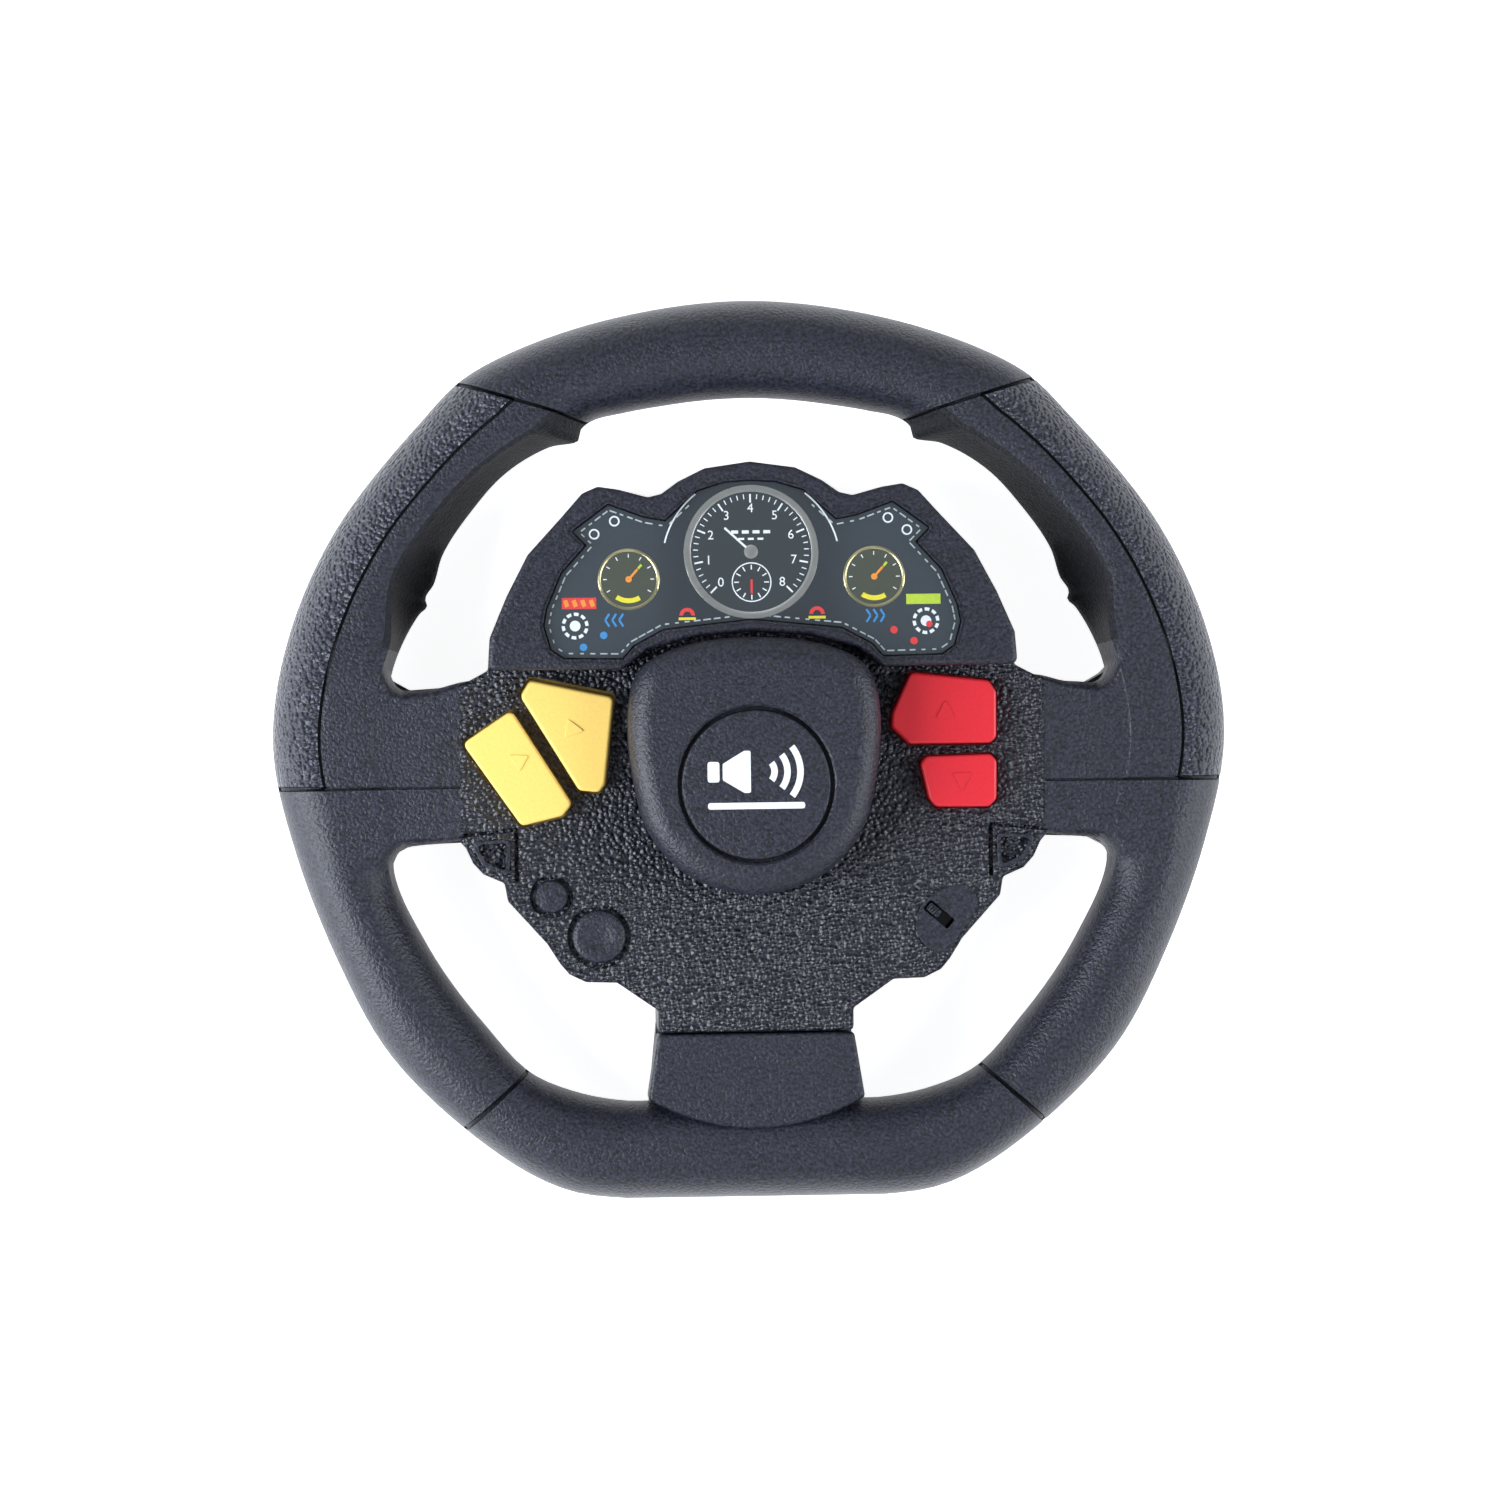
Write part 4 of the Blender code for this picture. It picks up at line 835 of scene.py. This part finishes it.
# ---- Hub cover -----------------------------------------------------------------------------------
# Domed shield over the middle: one smooth black moulding with a broad soft shoulder and a round opening
# for the horn.
HUB_EDGE = (
    (0.0, 0.0207), (0.0100, 0.0199), (0.0183, 0.0172), (0.0222, 0.0130), (0.0235, 0.0050),
    (0.0226, -0.0054), (0.0195, -0.0160), (0.0117, -0.0240), (0.0, -0.0271),
)
HUB_LOW_Z = 0.0279
HUB_TOP_Z = 0.0411
HUB_WALL = 0.0018
HORN_PLACE = (0.0, -0.0067)
HORN_RADIUS = 0.0139
hub_curve = [tuple(p) for p in spline(both_halves(HUB_EDGE), 8)]
bm = plate(hub_curve, HUB_LOW_Z, HUB_TOP_Z, rim=0.0046, segments=10)
open_below(bm, HUB_LOW_Z)
thicken(bm, HUB_WALL)
hub = finished("hub_dome", bm, smooth_black)
carved(hub, [turned([
    (0, 0.0380), (HORN_RADIUS + 0.0007, 0.0380), (HORN_RADIUS + 0.0007, HUB_TOP_Z - 0.0004),
    (HORN_RADIUS + 0.0010, HUB_TOP_Z - 0.0001), (HORN_RADIUS + 0.0016, 0.0418), (0, 0.0418),
], *HORN_PLACE, steps=96)], smooth_black)
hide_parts("hub_cover")

# ---- Horn button ---------------------------------------------------------------------------------
# Round black disc in the hub with a chamfered edge, on a stem, with a white printed horn sign: a generic
# mark of a bell mouth and three sound arcs over a bar.
horn = turned([
    (0, 0.0410), (0.0070, 0.0410), (HORN_RADIUS - 0.0007, 0.0410), (HORN_RADIUS - 0.0002, 0.0408),
    (HORN_RADIUS, 0.0404), (HORN_RADIUS, 0.0388), (0.0158, 0.0388), (0.0158, 0.0369), (0.0030, 0.0369),
    (0.0030, 0.0244), (0, 0.0244),
], *HORN_PLACE, steps=96)
horn = finished("horn_disc", horn, smooth_black, body="horn")
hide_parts("horn_button")


def ink(name, colour):
    """Printing ink: a flat colour with thin and thick spots."""
    made = bpy.data.materials.new(name)
    made.use_nodes = True
    nodes, links = made.node_tree.nodes, made.node_tree.links
    shader = nodes["Principled BSDF"]
    shader.inputs["Roughness"].default_value = 0.45
    place = nodes.new("ShaderNodeTexCoord").outputs["Object"]
    spots = nodes.new("ShaderNodeTexNoise")
    spots.inputs["Scale"].default_value = 1800
    links.new(place, spots.inputs["Vector"])
    tint = nodes.new("ShaderNodeMix")
    tint.data_type = "RGBA"
    tint.inputs["A"].default_value = (*[c * 0.82 for c in colour], 1)
    tint.inputs["B"].default_value = (*[min(1.0, c * 1.08) for c in colour], 1)
    links.new(spots.outputs["Fac"], tint.inputs["Factor"])
    links.new(tint.outputs["Result"], shader.inputs["Base Color"])
    return made


white_ink = ink("white_ink", (0.86, 0.90, 0.93))
INK = 0.00006  # thickness of a print


def arc_band(x, y, radius, width, start, end, low, high, steps=24):
    """A flat band along an arc, from one direction in degrees to another."""
    there, back = range(steps + 1), range(steps, -1, -1)
    outline = []
    for r, order in ((radius + width / 2, there), (radius - width / 2, back)):
        for i in order:
            a = math.radians(start + (end - start) * i / steps)
            outline.append((x + r * math.cos(a), y + r * math.sin(a)))
    return plate(outline, low, high)


SIGN_LOW_Z, SIGN_HIGH_Z = 0.04098, 0.04106
SOUND_BOX = ((-0.0090, -0.0062), (-0.0068, -0.0062), (-0.0068, -0.0024), (-0.0090, -0.0024))
BELL_MOUTH = (
    (-0.0062, -0.0058), (-0.0022, -0.0082), (-0.0010, -0.0082), (-0.0010, -0.0004), (-0.0022, -0.0004),
    (-0.0062, -0.0028),
)
UNDERLINE = ((-0.0090, -0.0112), (0.0090, -0.0112), (0.0090, -0.0100), (-0.0090, -0.0100))
sign = bmesh.new()
merged(sign, plate(SOUND_BOX, SIGN_LOW_Z, SIGN_HIGH_Z, corner=0.0005, segments=3))
merged(sign, plate(BELL_MOUTH, SIGN_LOW_Z, SIGN_HIGH_Z, corner=0.0004, segments=3))
for radius in (0.0026, 0.0050, 0.0074):
    merged(sign, arc_band(0.0008, -0.0043, radius, 0.0012, -38, 38, SIGN_LOW_Z, SIGN_HIGH_Z))
merged(sign, plate(UNDERLINE, SIGN_LOW_Z, SIGN_HIGH_Z, corner=0.0005, segments=3))
finished("horn_sign", sign, white_ink, body="horn")

# ---- Dash bezel ----------------------------------------------------------------------------------
# Raised hood over the instruments: a smooth black frame that slopes away towards twelve o'clock, with a
# stepped lip round its window.
DASH_LOW_EDGE = ((0.0243, 0.0150), (0.0195, 0.0186), (0.0105, 0.0211), (0.0, 0.0219))
WINDOW_EDGE = (
    (0.0, 0.0502), (0.0048, 0.0499), (0.0100, 0.0483), (0.0160, 0.0428), (0.0198, 0.0435),
    (0.0266, 0.0460), (0.0336, 0.0408), (0.0310, 0.0382), (0.0356, 0.0331), (0.0384, 0.0265),
    (0.0390, 0.0233), (0.0377, 0.0187), (0.0352, 0.0170), (0.0242, 0.0168), (0.0221, 0.0192),
    (0.0165, 0.0222), (0.0, 0.0239),
)
DASH_TILT = math.radians(7)
DASH_HIGH_Z = 0.0356
DASH_FLAT_Z = 0.0340
DASH_LOW_Z = 0.0279
DASH_FOOT_Z = 0.0290


def dash_slope(y):
    """How far the dash's sloping top lies from the flat height that its pieces are first made at."""
    return DASH_HIGH_Z - (y - 0.0150) * math.tan(DASH_TILT) - DASH_FLAT_Z


def laid(shape):
    """Tips all but the foot of a shape onto the dash's slope."""
    for v in shape.verts:
        if v.co.z > DASH_FOOT_Z:
            v.co.z += dash_slope(v.co.y)
    return shape


hood_edge = both_halves(DASH_EDGE + DASH_LOW_EDGE)
bm = laid(plate(hood_edge, DASH_LOW_Z, DASH_FLAT_Z, corner=0.0014, rim=0.0018, segments=5))
bezel = finished("dash_hood", bm, smooth_black)
window = both_halves(WINDOW_EDGE)
opening = plate(window, DASH_FLAT_Z - 0.0023, DASH_FLAT_Z + 0.0020, corner=0.0006, segments=3)
lip = plate(widened(window, 0.0006), DASH_FLAT_Z - 0.0003, DASH_FLAT_Z + 0.0030, corner=0.0009, segments=3)
carved(bezel, [laid(opening), laid(lip)], smooth_black)
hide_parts("dash_bezel")

# ---- Instrument card -----------------------------------------------------------------------------
# Printed card behind the lens: blue-black in the middle and lighter at the sides, which the lens's painted
# veil turns grey-green; with three dials and warning lamps. The dial rings are foil-blocked; everything else
# is ink, except the dashed grey line just inside the window's edge, a painted highlight of the hood's lip.
CARD_TOP_Z = DASH_FLAT_Z - 0.0016
INK_STEP = 0.00003  # one print over another


def refinished(node_name, finish):
    """Gives a CAD node its real finish."""
    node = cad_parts[node_name]
    for spot in range(len(node.data.materials)):
        node.data.materials[spot] = finish


card_print = bpy.data.materials.new("card_print")
card_print.use_nodes = True
nodes, links = card_print.node_tree.nodes, card_print.node_tree.links
shader = nodes["Principled BSDF"]
shader.inputs["Roughness"].default_value = 0.5
place = nodes.new("ShaderNodeTexCoord").outputs["Object"]
split = nodes.new("ShaderNodeSeparateXYZ")
links.new(place, split.inputs["Vector"])
sideways = nodes.new("ShaderNodeMath")
sideways.operation = "ABSOLUTE"
links.new(split.outputs["X"], sideways.inputs[0])
spread = nodes.new("ShaderNodeMapRange")
spread.interpolation_type = "SMOOTHSTEP"
spread.inputs["From Min"].default_value = 0.012
spread.inputs["From Max"].default_value = 0.022
links.new(sideways.outputs["Value"], spread.inputs["Value"])
tint = nodes.new("ShaderNodeMix")
tint.data_type = "RGBA"
tint.inputs["A"].default_value = (0.002, 0.004, 0.014, 1)
tint.inputs["B"].default_value = (0.013, 0.021, 0.034, 1)
links.new(spread.outputs["Result"], tint.inputs["Factor"])
dots = nodes.new("ShaderNodeTexNoise")
dots.inputs["Scale"].default_value = 1400
dots.inputs["Detail"].default_value = 2
links.new(place, dots.inputs["Vector"])
screen = nodes.new("ShaderNodeMix")
screen.data_type = "RGBA"
screen.blend_type = "OVERLAY"
screen.inputs["Factor"].default_value = 0.35
links.new(tint.outputs["Result"], screen.inputs["A"])
links.new(dots.outputs["Color"], screen.inputs["B"])
links.new(screen.outputs["Result"], shader.inputs["Base Color"])
refinished("dash_card", card_print)


def block(shape, x, y, length, width, turn=0.0, layer=0):
    """Adds a flat printed block, turned in degrees."""
    low = CARD_TOP_Z + layer * INK_STEP
    matrix = (
        Matrix.Translation((x, y, low + INK / 2)) @ Matrix.Rotation(math.radians(turn), 4, "Z")
        @ Matrix.Diagonal((length, width, INK, 1))
    )
    bmesh.ops.create_cube(shape, size=1, matrix=matrix)


def spot_of(shape, x, y, radius, layer=0, steps=32):
    """Adds a printed disc."""
    matrix = Matrix.Translation((x, y, CARD_TOP_Z + layer * INK_STEP + INK / 2))
    bmesh.ops.create_cone(
        shape, cap_ends=True, segments=steps, radius1=radius, radius2=radius, depth=INK, matrix=matrix,
    )


def band(shape, x, y, radius, width, layer=0, start=0, end=360, steps=64):
    """Adds a printed ring, or a part of one."""
    low = CARD_TOP_Z + layer * INK_STEP
    high = low + INK
    inner, outer = radius - width / 2, radius + width / 2
    if end - start == 360:
        corners = [(inner, low), (outer, low), (outer, high), (inner, high)]
        merged(shape, turned(corners, x, y, steps=steps, ring=True))
    else:
        merged(shape, arc_band(x, y, radius, width, start, end, low, high, steps=max(4, steps // 3)))


def numeral(shape, text, x, y, size):
    """Adds a dial number in the plain built-in letterform."""
    curve = bpy.data.curves.new("numeral", "FONT")
    curve.body = text
    curve.size = size
    curve.align_x, curve.align_y = "CENTER", "CENTER"
    curve.extrude = INK / 2
    holder = bpy.data.objects.new("numeral", curve)
    mesh = bpy.data.meshes.new_from_object(holder)
    mesh.transform(Matrix.Translation((x, y, CARD_TOP_Z + INK_STEP + INK / 2)))
    shape.from_mesh(mesh)
    bpy.data.meshes.remove(mesh)
    bpy.data.objects.remove(holder)
    bpy.data.curves.remove(curve)


def printed(name, shape, finish):
    finished(name, laid(shape), finish)


def on_dial(centre, reach, turn):
    """The place at a reach from a dial's centre, in a direction in degrees."""
    a = math.radians(turn)
    return centre[0] + reach * math.cos(a), centre[1] + reach * math.sin(a)


GAUGE = (0.0, 0.0367)
SUB_DIAL = (0.0, 0.0310)
LEFT_GAUGE, RIGHT_GAUGE = (-0.0229, 0.0318), (0.0229, 0.0318)

faces = bmesh.new()
spot_of(faces, *GAUGE, 0.0114, steps=64)
printed("gauge_face", faces, ink("gauge_face_ink", (0.012, 0.018, 0.026)))

faces = bmesh.new()
for centre in (LEFT_GAUGE, RIGHT_GAUGE):
    spot_of(faces, *centre, 0.0052, steps=48)
printed("side_gauge_faces", faces, ink("olive_ink", (0.045, 0.050, 0.030)))

whites = bmesh.new()
for i in range(41):
    turn = 225 - 270 * i / 40
    major = i % 5 == 0
    length, width = (0.0016, 0.00032) if major else (0.0009, 0.00018)
    block(whites, *on_dial(GAUGE, 0.0108 - length / 2, turn), length, width, turn, 1)
    if major:
        numeral(whites, str(i // 5), *on_dial(GAUGE, 0.0081, turn), 0.0024)
for i in range(12):
    block(whites, *on_dial(SUB_DIAL, 0.0028, 30 * i), 0.0009, 0.00022, 30 * i, 1)
band(whites, *SUB_DIAL, 0.0036, 0.00022, 1)
for i in range(4):
    block(whites, -0.0030 + 0.0020 * i, 0.0404, 0.0013, 0.0006, 0, 1)
for i in range(3):
    block(whites, -0.0018 + 0.0018 * i, 0.0391, 0.0011, 0.0004, 0, 1)
for x, y in ((-0.0292, 0.0403), (-0.0254, 0.0427), (0.0257, 0.0428), (0.0292, 0.0405)):
    band(whites, x, y, 0.00085, 0.0003, 1, steps=24)
for x, y in ((-0.0330, 0.0232), (0.0324, 0.0234)):
    spot_of(whites, x, y, 0.0010, 1)
    for i in range(10):
        band(whites, x, y, 0.0022, 0.0006, 1, start=36 * i, end=36 * i + 23, steps=12)
band(whites, 0, 0.0345, 0.0166, 0.0003, 1, start=128, end=166)
band(whites, 0, 0.0345, 0.0166, 0.0003, 1, start=14, end=52)
for centre in (LEFT_GAUGE, RIGHT_GAUGE):
    for i in range(9):
        turn = 210 - 30 * i
        block(whites, *on_dial(centre, 0.0044, turn), 0.0007, 0.00018, turn, 1)
printed("white_print", whites, white_ink)

# Dashed grey line just inside the window's edge: a painted highlight, standing in for light caught by the
# hood's lip.
line = bmesh.new()
DASH_PITCH = 0.0019
inset = widened(window, -0.0011)
for (ax, ay), (bx, by) in zip(inset, inset[1:] + inset[:1]):
    length = math.hypot(bx - ax, by - ay)
    turn = math.degrees(math.atan2(by - ay, bx - ax))
    count = max(1, round(length / DASH_PITCH))
    for i in range(count):
        share = (i + 0.5) / count
        x, y = ax + (bx - ax) * share, ay + (by - ay) * share
        if abs(x) > 0.0115 or y < 0.030:
            block(line, x, y, DASH_PITCH * (0.55 + 0.20 * math.sin(7 * i + 900 * x)), 0.00026, turn, 1)
printed("painted_lip_highlight", line, ink("lip_highlight_grey", (0.50, 0.56, 0.60)))

foil = bpy.data.materials.new("foil")
foil.use_nodes = True
nodes, links = foil.node_tree.nodes, foil.node_tree.links
shader = nodes["Principled BSDF"]
shader.inputs["Metallic"].default_value = 1.0
shader.inputs["Base Color"].default_value = (0.62, 0.62, 0.60, 1)
brushed = nodes.new("ShaderNodeTexNoise")
brushed.inputs["Scale"].default_value = 900
links.new(nodes.new("ShaderNodeTexCoord").outputs["Object"], brushed.inputs["Vector"])
dull = nodes.new("ShaderNodeMapRange")
dull.inputs["To Min"].default_value = 0.22
dull.inputs["To Max"].default_value = 0.42
links.new(brushed.outputs["Fac"], dull.inputs["Value"])
links.new(dull.outputs["Result"], shader.inputs["Roughness"])
rings = bmesh.new()
merged(rings, turned([
    (0.0112, CARD_TOP_Z), (0.0126, CARD_TOP_Z), (0.0125, CARD_TOP_Z + 0.00014),
    (0.0119, CARD_TOP_Z + 0.00024), (0.0113, CARD_TOP_Z + 0.0001),
], *GAUGE, steps=96, ring=True))
printed("gauge_ring", rings, foil)
gold = foil.copy()
gold.name = "gold_foil"
gold.node_tree.nodes["Principled BSDF"].inputs["Base Color"].default_value = (0.52, 0.46, 0.24, 1)
rings = bmesh.new()
for centre in (LEFT_GAUGE, RIGHT_GAUGE):
    merged(rings, turned([
        (0.0051, CARD_TOP_Z), (0.0058, CARD_TOP_Z), (0.0057, CARD_TOP_Z + 0.00012),
        (0.0054, CARD_TOP_Z + 0.00018),
    ], *centre, steps=64, ring=True))
printed("side_gauge_rings", rings, gold)

INKS = {
    "red": (0.80, 0.03, 0.03), "orange": (0.90, 0.30, 0.02), "yellow": (0.85, 0.75, 0.02),
    "lime": (0.50, 0.68, 0.03), "blue": (0.03, 0.26, 0.62),
}
prints = {colour: bmesh.new() for colour in INKS}
block(prints["red"], -0.0322, 0.0274, 0.0064, 0.0021, 0, 0)
for i in range(4):
    block(prints["orange"], -0.0346 + 0.0016 * i, 0.0274, 0.0008, 0.0013, 20, 2)
block(prints["lime"], 0.0320, 0.0275, 0.0064, 0.0019, 0, 0)
for x, y, way in ((-0.0257, 0.0242, 1), (0.0230, 0.0245, -1)):
    for i in range(3):
        for tilt in (-1, 1):
            block(prints["blue"], x + (i - 1) * 0.0013, y + tilt * 0.0006, 0.0014, 0.0004, way * tilt * 58, 1)
for x, y in ((-0.0277, 0.0214), (-0.0315, 0.0192)):
    spot_of(prints["blue"], x, y, 0.0007, 1)
for x, y in ((0.0264, 0.0218), (0.0301, 0.0197)):
    spot_of(prints["red"], x, y, 0.0007, 1)
spot_of(prints["red"], 0.0330, 0.0228, 0.0006, 2)
for x in (-0.0121, 0.0121):
    band(prints["red"], x, 0.0249, 0.0011, 0.0007, 1, start=0, end=180)
    block(prints["yellow"], x, 0.0243, 0.0032, 0.0005, 0, 1)
for centre in (LEFT_GAUGE, RIGHT_GAUGE):
    band(prints["yellow"], *centre, 0.0040, 0.0009, 1, start=235, end=300)
    for reach, length, colour in ((0.0012, 0.0030, "orange"), (0.0030, 0.0012, "lime")):
        block(prints[colour], *on_dial(centre, reach, 48), length, 0.00045, 48, 2)
    spot_of(prints["orange"], *centre, 0.0006, 3)
block(prints["red"], SUB_DIAL[0], SUB_DIAL[1] - 0.0008, 0.0004, 0.0026, 0, 2)
for colour, shape in prints.items():
    printed(colour + "_print", shape, ink(colour + "_ink", INKS[colour]))

needle = bmesh.new()
block(needle, GAUGE[0] - 0.0024, GAUGE[1] + 0.0022, 0.0068, 0.0004, 137, 2)
printed("needle", needle, white_ink)
hub_dot = bmesh.new()
merged(hub_dot, turned([
    (0, CARD_TOP_Z + 0.00024), (0.0008, CARD_TOP_Z + 0.00022), (0.0013, CARD_TOP_Z + 0.0001),
    (0.0013, CARD_TOP_Z), (0, CARD_TOP_Z),
], *GAUGE, steps=32))
printed("needle_hub", hub_dot, foil)

# ---- Dash lens -----------------------------------------------------------------------------------
# Clear styrene window pressed into the hood's lip. Its faint grey-green base colour is a painted reflection,
# a veil laid over the card.
clear = bpy.data.materials.new("clear_window_painted_veil")
clear.use_nodes = True
nodes, links = clear.node_tree.nodes, clear.node_tree.links
shader = nodes["Principled BSDF"]
# Grey-green base colour at low alpha: a painted veil of reflected light.
shader.inputs["Base Color"].default_value = (0.30, 0.34, 0.34, 1)
shader.inputs["Alpha"].default_value = 0.05
haze = nodes.new("ShaderNodeTexNoise")
haze.inputs["Scale"].default_value = 120
links.new(nodes.new("ShaderNodeTexCoord").outputs["Object"], haze.inputs["Vector"])
wipe = nodes.new("ShaderNodeMapRange")
wipe.inputs["To Min"].default_value = 0.06
wipe.inputs["To Max"].default_value = 0.16
links.new(haze.outputs["Fac"], wipe.inputs["Value"])
links.new(wipe.outputs["Result"], shader.inputs["Roughness"])
refinished("dash_lens", clear)

# ---- Rear half -----------------------------------------------------------------------------------
# Back of the wheel: a second black moulding with a plainly rounded rim, three arms and a deeper hump for
# the cells, held on by six screws that stand in round wells.
RIM_BACK_Z = 0.0055
ARM_BACK_Z = 0.0065
REAR_TOP_Z = PARTING_Z - 0.0003
WELL_RADIUS = 0.0028
POST_RADIUS = 0.0040
POST_TOP_Z = 0.0154
SHANK_RADIUS = 0.0014
SCREW_SEAT_Z = 0.0115
HUMP_EDGE = (
    (0.0, 0.0470), (0.0230, 0.0430), (0.0380, 0.0290), (0.0440, 0.0100), (0.0440, -0.0150), (0.0400, -0.0290),
    (0.0300, -0.0400), (0.0, -0.0420),
)
ARM_EDGE = (
    (0.0530, 0.0125), (0.0640, 0.0118), (0.0670, 0.0135), (0.0695, 0.0160), (0.0745, 0.0170),
    (0.0745, -0.0220), (0.0695, -0.0212), (0.0670, -0.0190), (0.0640, -0.0174), (0.0530, -0.0170),
)
REAR_FOOT = ((0.0183, -0.0515), (0.0206, -0.0740), (-0.0206, -0.0740), (-0.0183, -0.0515))
BAY_HALF = (0.02975, 0.01525)
BAY_Y = -0.0140
DOOR_SEAT_Z = 0.0023
DOOR_LEDGE = 0.0012
EAR_PLACE = (0.0, -0.03245)
EAR_RADIUS = 0.0040
BELOW_Z = -0.001  # under the back, where cuts begin


def upright(x, y, radius, low, high, steps=32):
    """A round bar that stands at x, y."""
    return turned([(0, low), (radius, low), (radius, high), (0, high)], x, y, steps=steps)


def back_hollow(outline):
    """The hollow of one part of the back, open towards the front moulding."""
    return plate(widened(outline, -SHELL_WALL), REAR_TOP_Z + 0.001, ARM_BACK_Z + SHELL_WALL)


def bay_plate(more, low, high):
    """A plate the size of the battery bay, or larger by a ledge all round."""
    x, y = BAY_HALF[0] + more, BAY_HALF[1] + more
    return plate([(-x, BAY_Y - y), (x, BAY_Y - y), (x, BAY_Y + y), (-x, BAY_Y + y)], low, high)


bm = drawn([rim_section(clock, REAR_TOP_Z, RIM_BACK_Z, False) for clock in stations])
thicken(bm, SHELL_WALL)
rear_rim = finished("rear_rim", bm, smooth_black)
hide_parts("rear_shell")

screw_places = []
for i in range(1, 7):
    low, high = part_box(f"shell_screw_{i}")
    screw_places.append(((low[0] + high[0]) / 2, (low[1] + high[1]) / 2))
wells = [upright(x, y, WELL_RADIUS, BELOW_Z, SCREW_SEAT_Z) for x, y in screw_places]
carved(rear_rim, wells[:4], smooth_black)
posts = bmesh.new()
for spot, (x, y) in enumerate(screw_places):
    foot = RIM_BACK_Z + 0.0008 if spot < 4 else 0.0009
    merged(posts, turned([
        (WELL_RADIUS, foot), (POST_RADIUS, foot), (POST_RADIUS, POST_TOP_Z), (SHANK_RADIUS, POST_TOP_Z),
        (SHANK_RADIUS, SCREW_SEAT_Z), (WELL_RADIUS, SCREW_SEAT_Z),
    ], x, y, steps=32, ring=True))
finished("screw_posts", posts, smooth_black)

for name, side in (("rear_arm_left", -1), ("rear_arm_right", 1)):
    outline = on_side(ARM_EDGE, side)
    bm = plate(outline, REAR_TOP_Z, ARM_BACK_Z, corner=0.0012, rim=0.0012)
    arm = finished(name, bm, smooth_black)
    carved(arm, [back_hollow(outline)], smooth_black)
bm = plate(REAR_FOOT, REAR_TOP_Z, ARM_BACK_Z, rim=0.0010)
foot = finished("rear_foot", bm, smooth_black)
carved(foot, [back_hollow(REAR_FOOT)], smooth_black)

bm = plate(panel_edge, REAR_TOP_Z, ARM_BACK_Z, corner=0.0010, rim=0.0012, segments=4)
back = finished("rear_panel", bm, pebbled_black)
hump = both_halves(HUMP_EDGE)
raised = plate(hump, ARM_BACK_Z + 0.0030, 0.0, corner=0.0050, rim=0.0020, segments=5)
carved(back, [raised], pebbled_black, "UNION")
carved(back, [
    back_hollow(panel_edge), plate(widened(hump, -SHELL_WALL), REAR_TOP_Z + 0.001, SHELL_WALL),
], pebbled_black)
carved(back, [
    bay_plate(0.0, BELOW_Z, 0.0100), bay_plate(DOOR_LEDGE, BELOW_Z, DOOR_SEAT_Z),
    upright(*EAR_PLACE, EAR_RADIUS, BELOW_Z, DOOR_SEAT_Z), *wells[4:],
], pebbled_black)

# ---- Battery door --------------------------------------------------------------------------------
# Flat black cover over the two cells, with a row of finger ribs and an ear for its screw.
DOOR_LOW_Z = 0.0004
DOOR_TOP_Z = 0.0020
DOOR_GAP = 0.0003
RIB_HALF = 0.0005
RIB_PITCH = 0.0020
RIB_LOW_Y, RIB_HIGH_Y = BAY_Y + 0.0040, BAY_Y + 0.0110
bm = bay_plate(DOOR_LEDGE - DOOR_GAP, DOOR_TOP_Z, DOOR_LOW_Z)
door = finished("cell_door", bm, pebbled_black)
carved(door, [upright(*EAR_PLACE, EAR_RADIUS - DOOR_GAP, DOOR_LOW_Z, DOOR_TOP_Z)], pebbled_black, "UNION")
ribs = [
    plate([
        (x - RIB_HALF, RIB_LOW_Y), (x + RIB_HALF, RIB_LOW_Y), (x + RIB_HALF, RIB_HIGH_Y),
        (x - RIB_HALF, RIB_HIGH_Y),
    ], BELOW_Z, DOOR_LOW_Z + 0.0005)
    for x in [RIB_PITCH * i for i in range(-5, 6)]
]
screw_hole = upright(*EAR_PLACE, SHANK_RADIUS, BELOW_Z, 0.003)
screw_sink = upright(*EAR_PLACE, 0.0025, BELOW_Z, 0.0014)
carved(door, ribs + [screw_hole, screw_sink], pebbled_black)
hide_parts("battery_door")

# ---- Inside --------------------------------------------------------------------------------------
# Circuit board with its chips and crystal, rubber keypads, slide switch, two cells with nickel contacts,
# the aerial lead and the screws: stock parts, which keep their shapes and get their real finishes.
INSIDE = {
    "board_mask": (("main_board",), (0.015, 0.16, 0.06), 0.35, 0.0),
    "chip_epoxy": (("control_chip", "radio_chip"), (0.012, 0.012, 0.014), 0.55, 0.0),
    "crystal_can": (("crystal",), (0.60, 0.60, 0.58), 0.28, 1.0),
    "keypad_silicone": (("steer_keypad", "drive_keypad", "horn_keypad"), (0.33, 0.35, 0.38), 0.70, 0.0),
    "switch_housing": (("power_switch",), (0.10, 0.10, 0.11), 0.45, 0.0),
    "cell_sleeve": (("cell_lower", "cell_upper"), (0.10, 0.22, 0.42), 0.30, 0.0),
    "spring_nickel": (
        ("contact_bridge", "contact_positive", "contact_negative"), (0.68, 0.66, 0.60), 0.25, 1.0,
    ),
    "lead_sleeve": (("antenna_wire",), (0.03, 0.03, 0.03), 0.50, 0.0),
    "zinc_steel": (
        tuple(f"shell_screw_{i}" for i in range(1, 7)) + ("board_screw_1", "board_screw_2", "door_screw"),
        (0.52, 0.53, 0.55), 0.30, 1.0,
    ),
}
for name, (nodes_of, colour, roughness, metal) in INSIDE.items():
    finish = plastic(name, colour, roughness, grain=0.3, mottling=0.12, metal=metal)
    for node_name in nodes_of:
        refinished(node_name, finish)
